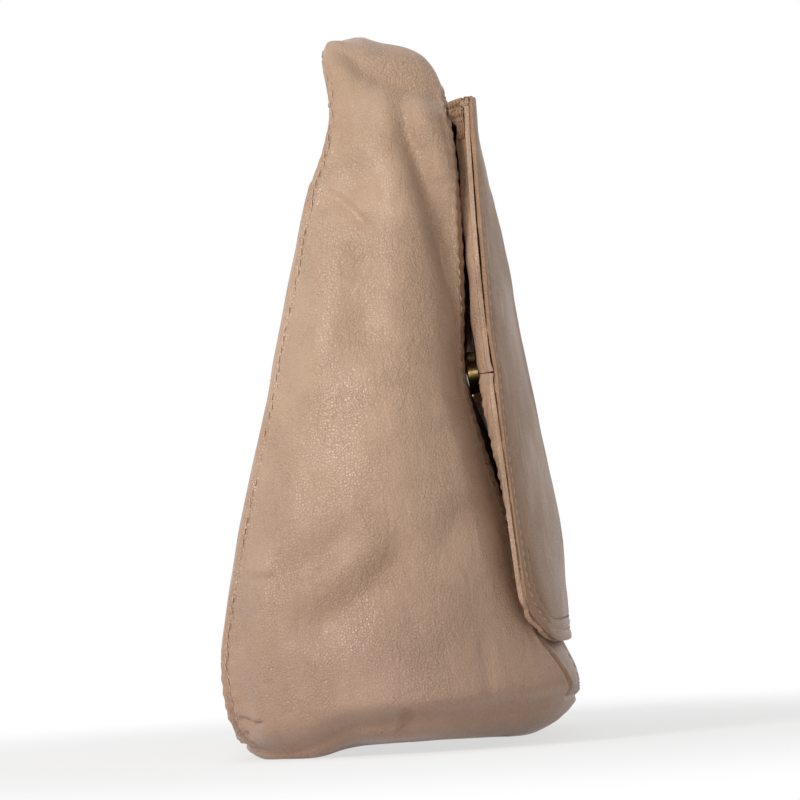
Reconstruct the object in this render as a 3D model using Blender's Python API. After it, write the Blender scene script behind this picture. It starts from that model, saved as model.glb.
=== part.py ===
# Soft leather belt bag with a padded flap, an open metal zip and a snap.
# Metres, +Z up, front towards -Y. The origin is at the middle of the base.
import math

import bpy
import bmesh
from mathutils import Vector

# Overall size of the filled body
BODY_HEIGHT = 0.2064
BODY_DEPTH = 0.104
BODY_WIDTH = 0.230

# Roundings where the walls turn into the base and into the domed top
BASE_NARROWING = 0.0070
BASE_SWELL_LOSS = 0.0130
TOP_NARROWING = 0.0220
TOP_SWELL_LOSS = 0.0020
CROWN_FALL = 0.0009

# Sheet thicknesses and the clearances between layers
LEATHER = 0.0018
WADDING = 0.0020
LINING = 0.0006
LAYER_GAP = 0.0004
SEAM_GAP = 0.0003
FLAP_LEATHER = 0.0013

# Hollow in the back panel that keeps the belt loops inside the outline
BACK_HOLLOW = 0.0070
BACK_EDGE_ROLL = 0.0025

# Zip
ZIP_BELOW_TOP = 0.0414
ZIP_HEIGHT = BODY_HEIGHT - ZIP_BELOW_TOP
MOUTH_HEIGHT = 0.016
MOUTH_SHARE = 0.889
ZIP_CLEAR = 0.0052
TEETH_HEIGHT = 0.0027
TEETH_DEPTH = 0.0018
TEETH_PITCH = 0.0030
TAPE_HEIGHT = 0.0110
TAPE_THICKNESS = 0.0006
STOP_LENGTH = 0.0026

# Slider and pull
SLIDER_LENGTH = 0.0140
SLIDER_PLATE = 0.0011
SLIDER_RIM = 0.0010
SLIDER_CLEAR = 0.0004
BAIL_SPAN = 0.0100
BAIL_BAR = 0.0008
BAIL_LEG = 0.0012
BAIL_ROOT = 0.0003
PULL_LENGTH = 0.0220
PULL_WIDTH = 0.0060
PULL_THICKNESS = 0.0009
PULL_CLEAR = 0.0003

# Flap
FLAP_BELOW_TOP = 0.0198
FLAP_TOP = BODY_HEIGHT - FLAP_BELOW_TOP
FLAP_BOTTOM = 0.0290
FLAP_HALF_TOP = 0.0850
FLAP_HALF_BOTTOM = 0.0980
FLAP_CORNER = 0.0180
FLAP_CLEARANCE = 0.0012
HINGE_DROP = 0.0036
HINGE_STAND_OFF = 0.0024
HINGE_SHOULDER = 0.0040
ROOT_ANGLE = math.radians(50.0)
ROOT_FLAT = 0.0008
LEATHER_SHOULDER = 0.0080
PAD_INSET = 0.0120
PAD_LEAST = 0.0010
PAD_GAP = 0.0006

# Snap, level with the seam across the flap's lining
SNAP_ABOVE_FLAP_EDGE = 0.0790
SNAP_HEIGHT = FLAP_BOTTOM + SNAP_ABOVE_FLAP_EDGE
SEAM_BELOW_SNAP = 0.0010
LINING_SPLIT = SNAP_HEIGHT - SEAM_BELOW_SNAP
SNAP_RADIUS = 0.0068
SNAP_DISC = 0.0015
SNAP_EDGE = 0.0004
SNAP_STUD_RADIUS = 0.0024
SNAP_STUD_LENGTH = 0.0009
SNAP_SPACE = 0.0004
WASHER_RADIUS = 0.0055
WASHER_THICKNESS = 0.0005

# Belt loops on the back
LOOP_WIDTH = 0.0240
LOOP_CENTRE_X = 0.0380
LOOP_BELOW_TOP = 0.0414
LOOP_LENGTH = 0.0700
LOOP_HIGH = BODY_HEIGHT - LOOP_BELOW_TOP
LOOP_LOW = LOOP_HIGH - LOOP_LENGTH
LOOP_GAP = 0.0062
LOOP_SEAT = 0.0006
LOOP_SEWN = 0.0080
LOOP_RISE = 0.0080

# Inside
BOARD_HALF_X = 0.0700
BOARD_HALF_Y = 0.0260
BOARD_THICKNESS = 0.0015

# Side outlines, as (share of the height, share of the depth), front positive
BACK_LINE = (
    (0.024, -0.429), (0.061, -0.459), (0.102, -0.472), (0.157, -0.468), (0.294, -0.414),
    (0.565, -0.276), (0.768, -0.166), (0.836, -0.121), (0.904, -0.091), (0.932, -0.095),
    (0.959, -0.100),
)
FRONT_LINE = (
    (0.048, 0.515), (0.073, 0.526), (0.097, 0.521), (0.150, 0.467), (0.242, 0.413),
    (0.388, 0.328), (0.485, 0.288), (0.547, 0.268), (0.761, 0.2615), (0.838, 0.2585),
    (0.906, 0.243),
)
FRONT_SEAM_LINE = (
    (0.048, 0.457), (0.0775, 0.460), (0.107, 0.448), (0.150, 0.404), (0.194, 0.374),
    (0.291, 0.340), (0.388, 0.309), (0.547, 0.254), (0.761, 0.252), (0.838, 0.245),
    (0.906, 0.233),
)
# Depths where the flat base and the flat of the top begin, as shares of the depth
BASE_FLAT_DEPTHS = (-0.317, 0.346)
CROWN_FLAT_DEPTHS = (-0.050, 0.024)
# Half widths at the seams and the swell of the sides, as shares of the width
BACK_SEAM_HALF = (
    (0.024, 0.322), (0.040, 0.365), (0.080, 0.396), (0.157, 0.4065), (0.430, 0.400),
    (0.700, 0.383), (0.880, 0.365), (0.932, 0.350), (0.959, 0.313),
)
FRONT_SEAM_HALF = (
    (0.048, 0.313), (0.070, 0.3565), (0.110, 0.378), (0.200, 0.387), (0.500, 0.391),
    (0.761, 0.3870), (0.838, 0.3850), (0.875, 0.376), (0.906, 0.345),
)
SIDE_SWELL = (
    (0.000, 0.146), (0.060, 0.108), (0.130, 0.098), (0.300, 0.096), (0.600, 0.078),
    (0.800, 0.058), (0.900, 0.044), (1.000, 0.036),
)
# How the hollow of the back fades, as shares of the height and of the half width
HOLLOW_FOOT = (0.10, 0.38)
HOLLOW_HEAD = (0.84, 0.96)
HOLLOW_ACROSS = 0.92
# Powers that shape the sections: higher keeps a face flat for longer
HOLLOW_POWER = 4
EDGE_ROLL_POWER = 14
CROWN_POWER = 2.4
SIDE_POWER = 0.72
FLARE_POWER = 0.9
BEYOND_SEAM_SLOPE = 0.5
# Flap faces at the middle and at the side edges: (height share, depth share)
FLAP_OUTER_LINE = (
    (0.120, 0.517), (0.208, 0.501), (0.266, 0.502), (0.340, 0.491), (0.488, 0.441),
    (0.635, 0.401), (0.784, 0.359), (0.904, 0.322),
)
FLAP_OUTER_EDGE = (
    (0.120, 0.397), (0.182, 0.383), (0.257, 0.362), (0.380, 0.343), (0.574, 0.317),
    (0.718, 0.305), (0.904, 0.305),
)
FLAP_INNER_LINE = (
    (0.120, 0.487), (0.194, 0.462), (0.291, 0.413), (0.388, 0.364), (0.485, 0.331),
    (0.560, 0.312), (0.688, 0.303), (0.780, 0.304), (0.843, 0.300), (0.904, 0.287),
)
FLAP_INNER_EDGE = (
    (0.120, 0.368), (0.182, 0.354), (0.257, 0.340), (0.380, 0.322), (0.574, 0.294),
    (0.718, 0.283), (0.904, 0.280),
)
# Section of the hinge leather: (share of its depth, distance below its top or its foot)
HINGE_TOP_CURVE = ((0.0, 0.0006), (0.12, 0.0), (0.62, 0.0), (0.86, 0.0010), (1.0, 0.0036))
HINGE_FOOT_CURVE = ((1.0, 0.0026), (0.86, 0.0022), (0.60, 0.0))
# Shape of a tooth and of the pull, as shares of the tooth's pitch, its height and the pull's width
TOOTH_START = 0.25
TOOTH_END = 0.75
TOOTH_WAIST = 0.55
PULL_NECK = 0.6
PULL_TIP = 0.5

# Mesh density along the back, the sides, the front and the height
BACK_STEPS = (0.0, 0.035, 0.12, 0.22, 0.34, 0.50, 0.66, 0.78, 0.88, 0.965, 1.0)
SIDE_STEPS = (0.0, 0.05, 0.18, 0.36, 0.55, 0.74, 0.91, 1.0)
FRONT_INNER_STEPS = (0.0, 0.16, 0.34, 0.50, 0.66, 0.84, 1.0)
ROWS_BELOW_MOUTH = (0.0, 0.025, 0.06, 0.10, 0.15, 0.22, 0.32, 0.43, 0.55, 0.67, 0.80, 0.92)
ROWS_ABOVE_MOUTH = (0.40, 0.78, 1.0)
ROUND_STEPS = (0.30, 0.62, 1.0)
CAP_BORDER = 0.55
FLAP_ROWS = (0.0, 0.03, 0.09, 0.18, 0.30, 0.42, 0.55, 0.68, 0.80, 0.90, 0.96, 1.0)
FLAP_MIDDLE_SHARES = (0.70, 0.46, 0.22)
FLAP_CORNER_TURNS = (90.0, 62.0, 38.0, 18.0)
UPPER_LINING_ROWS = 6
LOOP_RISE_STEPS = 4


def clear_scene():
    for old in list(bpy.data.objects):
        bpy.data.objects.remove(old, do_unlink=True)


def curve_value(table, at):
    """Read a smooth curve through the table's points."""
    if at <= table[0][0]:
        return table[0][1]
    if at >= table[-1][0]:
        return table[-1][1]
    index = 0
    while table[index + 1][0] < at:
        index += 1
    left, right = table[index], table[index + 1]
    before = table[max(index - 1, 0)]
    after = table[min(index + 2, len(table) - 1)]
    span = right[0] - left[0]
    start_slope = (right[1] - before[1]) / (right[0] - before[0])
    end_slope = (after[1] - left[1]) / (after[0] - left[0])
    t = (at - left[0]) / span
    value = (2 * t**3 - 3 * t**2 + 1) * left[1] + (3 * t**2 - 2 * t**3) * right[1]
    value += (t**3 - 2 * t**2 + t) * span * start_slope + (t**3 - t**2) * span * end_slope
    return value


def material(name, colour, roughness, metallic=0.0):
    made = bpy.data.materials.new(name)
    made.use_nodes = True
    shader = made.node_tree.nodes["Principled BSDF"]
    shader.inputs["Base Color"].default_value = (*colour, 1.0)
    shader.inputs["Roughness"].default_value = roughness
    shader.inputs["Metallic"].default_value = metallic
    return made


def leather_material(name):
    return material(name, (0.47, 0.32, 0.22), 0.5)


def gold_material(name):
    return material(name, (0.83, 0.58, 0.26), 0.25, 1.0)


def fabric_material(name):
    return material(name, (0.12, 0.09, 0.08), 0.85)


def split_quads(faces):
    """Cut each quad along the same diagonal, so that neighbouring layers agree."""
    split = []
    for face in faces:
        split += [face[:3], (face[0], face[2], face[3])] if len(face) == 4 else [face]
    return split


def add_object(name, vertices, faces, made_of, smooth=True):
    mesh = bpy.data.meshes.new(name)
    mesh.from_pydata([tuple(v) for v in vertices], [], faces)
    work = bmesh.new()
    work.from_mesh(mesh)
    bmesh.ops.recalc_face_normals(work, faces=work.faces)
    work.to_mesh(mesh)
    work.free()
    if smooth:
        mesh.shade_smooth()
        mesh.set_sharp_from_angle(angle=math.radians(40.0))
    mesh.materials.append(made_of(name))
    thing = bpy.data.objects.new(name, mesh)
    bpy.context.collection.objects.link(thing)
    return thing


def smooth_step(span, at):
    """Rise from 0 to 1 over a span, level at both ends."""
    share = min(max((at - span[0]) / (span[1] - span[0]), 0.0), 1.0)
    return math.sin(share * math.pi / 2) ** 2


def back_depth(x, height_share):
    """Depth of the back panel's outer face, front positive."""
    half = BODY_WIDTH * curve_value(BACK_SEAM_HALF, height_share)
    across = min(abs(x) / half, 1.0)
    depth = BODY_DEPTH * curve_value(BACK_LINE, height_share)
    weight = smooth_step(HOLLOW_FOOT, height_share) * (1 - smooth_step(HOLLOW_HEAD, height_share))
    hollow = BACK_HOLLOW * weight * (1 - min(across / HOLLOW_ACROSS, 1.0) ** HOLLOW_POWER)
    return depth + hollow + BACK_EDGE_ROLL * across**EDGE_ROLL_POWER


def front_depth(x, height_share):
    """Depth of the front's outer face, continued a little past its seams."""
    half = BODY_WIDTH * curve_value(FRONT_SEAM_HALF, height_share)
    middle = BODY_DEPTH * curve_value(FRONT_LINE, height_share)
    seam = BODY_DEPTH * curve_value(FRONT_SEAM_LINE, height_share)
    across = min(abs(x) / half, 1.0)
    beyond = max(abs(x) - half, 0.0)
    return middle - (middle - seam) * across**CROWN_POWER - BEYOND_SEAM_SLOPE * beyond


def share_of_height(z):
    return z / BODY_HEIGHT


class Ring:
    """One closed turn round the body, back middle to front and back again."""

    def __init__(self, back_z, front_z, back_half, front_half, swell, back_at, front_at):
        self.back_z = back_z
        self.front_z = front_z
        self.back_half = back_half
        self.front_half = front_half
        self.swell = swell
        self.back_at = back_at
        self.front_at = front_at

    def back_point(self, step):
        x = self.back_half * (2 * step - 1)
        return Vector((x, -self.back_at(x), self.back_z))

    def front_point(self, x):
        return Vector((x, -self.front_at(x), self.front_z))

    def side_point(self, step, sign):
        start = Vector((sign * self.back_half, -self.back_at(self.back_half), self.back_z))
        end = Vector((sign * self.front_half, -self.front_at(self.front_half), self.front_z))
        point = start.lerp(end, step)
        point.x += sign * self.swell * math.sin(math.pi * step) ** SIDE_POWER
        return point

    def points(self):
        """Columns from the left back seam along the back, then round to it."""
        back = [self.back_point(step) for step in BACK_STEPS]
        right = [self.side_point(step, 1) for step in SIDE_STEPS[1:-1]]
        inner = self.front_half * MOUTH_SHARE
        front_x = [self.front_half]
        front_x += [inner * (1 - 2 * step) for step in FRONT_INNER_STEPS]
        front_x += [-self.front_half]
        front = [self.front_point(x) for x in front_x]
        left = [self.side_point(step, -1) for step in reversed(SIDE_STEPS[1:-1])]
        return back + right + front + left


BACK_COLUMNS = len(BACK_STEPS)
SIDE_COLUMNS = len(SIDE_STEPS) - 2
FRONT_COLUMNS = len(FRONT_INNER_STEPS) + 2
FRONT_START = BACK_COLUMNS + SIDE_COLUMNS


def wall_ring(front_share_at):
    """A turn round the walls, named by its height share at the front."""
    low_back, high_back = BACK_LINE[0][0], BACK_LINE[-1][0]
    low_front, high_front = FRONT_LINE[0][0], FRONT_LINE[-1][0]
    rise = (front_share_at - low_front) / (high_front - low_front)
    back_share_at = low_back + (high_back - low_back) * rise
    return Ring(
        back_share_at * BODY_HEIGHT,
        front_share_at * BODY_HEIGHT,
        BODY_WIDTH * curve_value(BACK_SEAM_HALF, back_share_at),
        BODY_WIDTH * curve_value(FRONT_SEAM_HALF, front_share_at),
        BODY_WIDTH * curve_value(SIDE_SWELL, rise),
        lambda x: back_depth(x, back_share_at),
        lambda x: front_depth(x, front_share_at),
    )


def closing_ring(edge, turn, flat_z, flat_depths, width_loss, swell_loss):
    """A turn on the rounding between the walls and the base or the top."""
    out = math.cos(turn * math.pi / 2)
    rise = math.sin(turn * math.pi / 2)
    back_flat, front_flat = flat_z
    back_stop, front_stop = (BODY_DEPTH * share for share in flat_depths)

    def back_at(x):
        return back_stop + (edge.back_at(x * edge.back_half / half_back) - back_stop) * out

    def front_at(x):
        return front_stop + (edge.front_at(x * edge.front_half / half_front) - front_stop) * out

    half_back = edge.back_half - width_loss * (1 - out)
    half_front = edge.front_half - width_loss * (1 - out)
    return Ring(
        edge.back_z + (back_flat - edge.back_z) * rise,
        edge.front_z + (front_flat - edge.front_z) * rise,
        half_back,
        half_front,
        edge.swell - swell_loss * (1 - out),
        back_at,
        front_at,
    )


def body_rings():
    """All turns from the base to the top, with the index of each key row."""
    low, high = FRONT_LINE[0][0], FRONT_LINE[-1][0]
    mouth_low = share_of_height(ZIP_HEIGHT - MOUTH_HEIGHT / 2)
    mouth_high = share_of_height(ZIP_HEIGHT + MOUTH_HEIGHT / 2)
    bottom = wall_ring(low)
    top = wall_ring(high)
    base = [
        closing_ring(bottom, turn, (0.0, 0.0), BASE_FLAT_DEPTHS, BASE_NARROWING, BASE_SWELL_LOSS)
        for turn in reversed(ROUND_STEPS)
    ]
    walls = [wall_ring(low + (mouth_low - low) * share) for share in (*ROWS_BELOW_MOUTH, 1.0)]
    walls.append(wall_ring((mouth_low + mouth_high) / 2))
    walls.append(wall_ring(mouth_high))
    walls += [wall_ring(mouth_high + (high - mouth_high) * share) for share in ROWS_ABOVE_MOUTH]
    crown = (BODY_HEIGHT, BODY_HEIGHT - CROWN_FALL)
    lid = [
        closing_ring(top, turn, crown, CROWN_FLAT_DEPTHS, TOP_NARROWING, TOP_SWELL_LOSS)
        for turn in ROUND_STEPS
    ]
    rows = {
        "bottom": len(base),
        "mouth_low": len(base) + len(ROWS_BELOW_MOUTH),
        "mouth_high": len(base) + len(ROWS_BELOW_MOUTH) + 2,
        "top": len(base) + len(walls) - 1,
    }
    return base + walls + lid, rows


class BodySurface:
    """The body's outer face as one closed mesh, sorted into panels."""

    def __init__(self):
        rings, self.rows = body_rings()
        loops = [ring.points() for ring in rings]
        self.columns = len(loops[0])
        self.vertices = [point for loop in loops for point in loop]
        self.faces = []
        self.regions = []
        for row in range(len(loops) - 1):
            for column in range(self.columns):
                following = (column + 1) % self.columns
                low = row * self.columns
                high = low + self.columns
                self.faces.append((low + column, high + column, high + following, low + following))
                self.regions.append(self.region(row, column))
        self.add_cap(0, facing_up=False)
        self.add_cap(len(loops) - 1, facing_up=True)
        self.normals = self.vertex_normals()

    def region(self, row, column):
        """Name of the panel that the cell above this row belongs to."""
        if not self.rows["bottom"] <= row < self.rows["top"]:
            return "wrap"
        if column < BACK_COLUMNS - 1:
            return "back"
        if not FRONT_START <= column < FRONT_START + FRONT_COLUMNS - 1:
            return "wrap"
        end_column = column in (FRONT_START, FRONT_START + FRONT_COLUMNS - 2)
        if row < self.rows["mouth_low"]:
            return "front"
        if row >= self.rows["mouth_high"]:
            return "yoke"
        return "front" if end_column else "mouth"

    def add_cap(self, row, facing_up):
        """Close a ring with a border strip and a fan of triangles inside it."""
        first = row * self.columns
        ring = self.vertices[first:first + self.columns]
        centre = sum(ring, Vector()) / len(ring)
        start = len(self.vertices)
        for point in ring:
            self.vertices.append(Vector((point.x, centre.y, centre.z)).lerp(point, CAP_BORDER))
        self.vertices.append(centre)
        hub = start + self.columns
        caps = []
        for index in range(self.columns):
            after = (index + 1) % self.columns
            caps.append((first + index, first + after, start + after, start + index))
            caps.append((start + index, start + after, hub))
        self.faces += [cap[::-1] for cap in caps] if facing_up else caps
        self.regions += ["wrap"] * len(caps)

    def face_normal(self, face):
        """Outward normal of one face, from the order of its corners."""
        points = [self.vertices[index] for index in face]
        normal = Vector()
        for index, point in enumerate(points):
            normal += point.cross(points[(index + 1) % len(points)])
        return normal.normalized()

    def vertex_normals(self):
        totals = [Vector() for _ in self.vertices]
        for face in self.faces:
            normal = self.face_normal(face)
            for index in face:
                totals[index] += normal
        return [total.normalized() for total in totals]

    def layer(self, name, wanted, depth, thickness, made_of):
        """A closed sheet under the wanted panels, starting at a depth."""
        chosen = [face for face, region in zip(self.faces, self.regions) if region in wanted]
        used = sorted({index for face in chosen for index in face})
        edges = {}
        for face in chosen:
            for index, vertex in enumerate(face):
                pair = (vertex, face[(index + 1) % len(face)])
                edges[frozenset(pair)] = None if frozenset(pair) in edges else pair
        rim = [pair for pair in edges.values() if pair]
        moves = self.seam_moves(chosen, {index for pair in rim for index in pair}, depth + thickness)
        place = {index: position for position, index in enumerate(used)}
        outer, inner = [], []
        for index in used:
            base = self.vertices[index] + moves.get(index, Vector())
            outer.append(base - self.normals[index] * depth)
            inner.append(base - self.normals[index] * (depth + thickness))
        count = len(used)
        faces = split_quads([tuple(place[index] for index in face) for face in chosen])
        faces += [tuple(index + count for index in reversed(face)) for face in faces]
        for first, second in rim:
            first, second = place[first], place[second]
            faces.append((second, first, first + count, second + count))
        return add_object(name, outer + inner, faces, made_of)

    def seam_moves(self, chosen, rim, reach):
        """Draw each seam edge back from its neighbour by half the seam gap."""
        moves = {}
        for face in chosen:
            middle = sum((self.vertices[index] for index in face), Vector()) / len(face)
            for index in face:
                if index in rim:
                    pull = (middle - self.vertices[index]).normalized()
                    moves[index] = moves.get(index, Vector()) + pull
        for index, pull in moves.items():
            pull -= self.normals[index] * pull.dot(self.normals[index])
            moves[index] = pull.normalized() * SEAM_GAP
        return moves


def prism(name, outline, axis, start, end, made_of, smooth=False):
    """Extrude a closed outline along X or Y between two values."""
    vertices = []
    for at in (start, end):
        for first, second in outline:
            vertices.append(Vector((at, first, second)) if axis == "x" else Vector((first, at, second)))
    count = len(outline)
    faces = [tuple(range(count)), tuple(range(2 * count - 1, count - 1, -1))]
    for index in range(count):
        after = (index + 1) % count
        faces.append((index, index + count, after + count, after))
    return add_object(name, vertices, faces, made_of, smooth)


def flap_half(z):
    """Half width of the flap at a height, flared towards the bottom."""
    share = min(max((FLAP_TOP - z) / (FLAP_TOP - FLAP_BOTTOM), 0.0), 1.0)
    flare = math.sin(share * math.pi / 2) ** FLARE_POWER
    return FLAP_HALF_TOP + (FLAP_HALF_BOTTOM - FLAP_HALF_TOP) * flare


def flap_inner(x, z):
    """Depth of the flap's face towards the body."""
    share = share_of_height(z)
    across = min(abs(x) / flap_half(z), 1.0)
    middle = BODY_DEPTH * curve_value(FLAP_INNER_LINE, share)
    edge = BODY_DEPTH * curve_value(FLAP_INNER_EDGE, share)
    drawn = middle - (middle - edge) * across**CROWN_POWER
    return max(drawn, front_depth(x, share) + FLAP_CLEARANCE)


def flap_outer(x, z):
    """Depth of the flap's outer face."""
    share = share_of_height(z)
    across = min(abs(x) / flap_half(z), 1.0)
    middle = BODY_DEPTH * curve_value(FLAP_OUTER_LINE, share)
    edge = BODY_DEPTH * curve_value(FLAP_OUTER_EDGE, share)
    drawn = middle - (middle - edge) * across**CROWN_POWER
    layers = 2 * FLAP_LEATHER + LAYER_GAP + pad_room(x, z)
    return max(drawn, flap_inner(x, z) + layers)


def pad_room(x, z):
    """Least room that the wadding needs, fading out towards the edges."""
    from_side = flap_half(z) - abs(x)
    from_bottom = z - flap_bottom(x / flap_half(z))
    share = min(max(min(from_side, from_bottom) / PAD_INSET, 0.0), 1.0)
    return (PAD_LEAST + 2 * PAD_GAP) * math.sin(share * math.pi / 2)


def flap_bottom(u):
    """Lower edge of the flap at a share of its half width."""
    x = min(abs(u), 1.0) * FLAP_HALF_BOTTOM
    past = x - (FLAP_HALF_BOTTOM - FLAP_CORNER)
    if past <= 0:
        return FLAP_BOTTOM
    return FLAP_BOTTOM + FLAP_CORNER - math.sqrt(max(FLAP_CORNER**2 - past**2, 0.0))


def flap_shares(inset=0.0):
    """Column positions across the flap, closer together in its corners."""
    corner = FLAP_CORNER / FLAP_HALF_BOTTOM
    edge = [1 - corner + corner * math.sin(math.radians(turn)) for turn in FLAP_CORNER_TURNS]
    half = edge + list(FLAP_MIDDLE_SHARES)
    limit = 1 - inset / FLAP_HALF_BOTTOM
    half = [share * limit for share in half]
    return [-share for share in half] + [0.0] + half[::-1]


def flap_layer(name, top, bottom, near, far, made_of, inset=0.0):
    """A layer of the flap between two heights, following its outline."""
    shares = flap_shares(inset)
    columns = []
    for u in shares:
        low = max(bottom, flap_bottom(u) + inset)
        columns.append([top + (low - top) * row for row in FLAP_ROWS])
    vertices = []
    for side in (near, far):
        for row in range(len(FLAP_ROWS)):
            for u, column in zip(shares, columns):
                z = column[row]
                x = u * flap_half(z)
                vertices.append(Vector((x, -side(x, z), z)))
    return grid_solid(name, vertices, len(shares), len(FLAP_ROWS), made_of)


def grid_solid(name, vertices, wide, tall, made_of):
    """Close two like grids of points into one solid."""
    count = wide * tall
    cells = []
    for row in range(tall - 1):
        for column in range(wide - 1):
            corner = row * wide + column
            cells.append((corner, corner + 1, corner + wide + 1, corner + wide))
    faces = split_quads(cells)
    faces += [tuple(index + count for index in reversed(face)) for face in faces]
    border = list(range(wide))
    border += [row * wide + wide - 1 for row in range(1, tall)]
    border += [(tall - 1) * wide + column for column in range(wide - 2, -1, -1)]
    border += [row * wide for row in range(tall - 2, 0, -1)]
    for index, vertex in enumerate(border):
        after = border[(index + 1) % len(border)]
        faces.append((after, vertex, vertex + count, after + count))
    return add_object(name, vertices, faces, made_of)


def build_body(surface):
    surface.layer("body_wrap", {"wrap"}, 0.0, LEATHER, leather_material)
    surface.layer("back_panel", {"back"}, 0.0, LEATHER, leather_material)
    surface.layer("front_panel", {"front"}, 0.0, LEATHER, leather_material)
    surface.layer("front_yoke", {"yoke"}, 0.0, LEATHER, leather_material)
    surface.layer("body_wadding", {"wrap", "back"}, LEATHER + LAYER_GAP, WADDING, fabric_material)
    surface.layer(
        "body_lining", {"wrap", "back", "front", "yoke"}, lining_depth(), LINING, fabric_material
    )


def lining_depth():
    """Depth of the lining below the leather's outer face, clear of the tapes."""
    behind_tapes = front_depth(0, share_of_height(ZIP_HEIGHT)) - tape_front() + TAPE_THICKNESS + LAYER_GAP
    return max(LEATHER + WADDING + 2 * LAYER_GAP, behind_tapes)


def mouth_half():
    """Half width of the opening that the zip lies in."""
    return BODY_WIDTH * curve_value(FRONT_SEAM_HALF, share_of_height(ZIP_HEIGHT)) * MOUTH_SHARE


def teeth_half():
    """Half length of the teeth rows."""
    return mouth_half() - LAYER_GAP


def tape_front():
    """Depth of the tapes' front face, just behind the leather at the mouth."""
    ends = front_depth(mouth_half() + STOP_LENGTH, share_of_height(ZIP_HEIGHT + MOUTH_HEIGHT / 2))
    return ends - LEATHER - 2 * LAYER_GAP


def build_zip():
    half = teeth_half()
    front = tape_front()
    back = front - TAPE_THICKNESS
    teeth_front = (front + back + TEETH_DEPTH) / 2
    for name, sign in (("lower", -1), ("upper", 1)):
        inner = ZIP_CLEAR / 2 + TEETH_HEIGHT + LAYER_GAP
        near, far = ZIP_HEIGHT + sign * inner, ZIP_HEIGHT + sign * (inner + TAPE_HEIGHT)
        outline = [(-front, near), (-back, near), (-back, far), (-front, far)]
        prism("zip_tape_" + name, outline, "x", -half - STOP_LENGTH, half + STOP_LENGTH, fabric_material)
        outline = teeth_outline(half, sign)
        prism("zip_teeth_" + name, outline, "y", -teeth_front, -teeth_front + TEETH_DEPTH, gold_material)
    for name, sign in (("closed_end", 1), ("open_end", -1)):
        start = sign * (half + LAYER_GAP)
        end = start + sign * (STOP_LENGTH - LAYER_GAP)
        reach = ZIP_CLEAR / 2 + TEETH_HEIGHT
        stop_front = teeth_front - LAYER_GAP
        outline = [(-stop_front, ZIP_HEIGHT - reach), (-back, ZIP_HEIGHT - reach)]
        outline += [(-back, ZIP_HEIGHT + reach), (-stop_front, ZIP_HEIGHT + reach)]
        prism("zip_stop_" + name, outline, "x", min(start, end), max(start, end), gold_material)
    return teeth_front


def teeth_outline(half, sign):
    """A comb outline: the cord strip with one tooth for each pitch."""
    root = ZIP_HEIGHT + sign * (ZIP_CLEAR / 2 + TEETH_HEIGHT)
    waist = ZIP_HEIGHT + sign * (ZIP_CLEAR / 2 + TEETH_HEIGHT * TOOTH_WAIST)
    tip = ZIP_HEIGHT + sign * ZIP_CLEAR / 2
    count = int(2 * half / TEETH_PITCH)
    first = -count * TEETH_PITCH / 2
    outline = [(-half, root), (-half, waist)]
    for index in range(count):
        start = first + (index + TOOTH_START) * TEETH_PITCH
        end = first + (index + TOOTH_END) * TEETH_PITCH
        outline += [(start, waist), (start, tip), (end, tip), (end, waist)]
    outline += [(half, waist), (half, root)]
    return outline


def slider_home():
    """Where the slider waits, at the open end of the zip."""
    return -(teeth_half() - SLIDER_LENGTH / 2 - SLIDER_CLEAR)


def build_slider(teeth_front):
    """The slider straddles both teeth rows, and its plates clear them."""
    teeth_back = teeth_front - TEETH_DEPTH
    front = tape_front()
    back = front - TAPE_THICKNESS
    plate_in = teeth_front + SLIDER_CLEAR
    plate_out = plate_in + SLIDER_PLATE
    rear_in = teeth_back - SLIDER_CLEAR
    rear_out = rear_in - SLIDER_PLATE
    post = ZIP_CLEAR / 2 - SLIDER_CLEAR
    rim_in = ZIP_CLEAR / 2 + TEETH_HEIGHT + SLIDER_CLEAR
    rim_out = rim_in + SLIDER_RIM
    half_section = [
        (plate_out, rim_out), (front + SLIDER_CLEAR, rim_out), (front + SLIDER_CLEAR, rim_in),
        (plate_in, rim_in), (plate_in, post), (rear_in, post), (rear_in, rim_in),
        (back - SLIDER_CLEAR, rim_in), (back - SLIDER_CLEAR, rim_out), (rear_out, rim_out),
    ]
    section = [(-depth, ZIP_HEIGHT + rise) for depth, rise in half_section]
    section += [(-depth, ZIP_HEIGHT - rise) for depth, rise in reversed(half_section)]
    home = slider_home()
    start, end = home - SLIDER_LENGTH / 2, home + SLIDER_LENGTH / 2
    slider = prism("zip_slider", section, "x", start, end, gold_material)
    pull_back = max(deepest_below_mouth(), plate_out) + PULL_CLEAR
    pull_front = pull_back + PULL_THICKNESS
    combine(slider, bail_shape(home, plate_out, pull_front + PULL_CLEAR), "UNION")
    pull = build_pull(home, pull_back, pull_front)
    slider_axis = carry("slider_axis", Vector((home, -plate_out, ZIP_HEIGHT)), [slider])
    carry("pull_axis", Vector((home, -pull_back, ZIP_HEIGHT)), [pull], slider_axis)


def deepest_below_mouth():
    """Depth of the proudest leather that the pull swings over."""
    swing = (ZIP_HEIGHT - MOUTH_HEIGHT / 2, ZIP_HEIGHT - PULL_LENGTH)
    return max(front_depth(0, share_of_height(z)) for z in swing)


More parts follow.
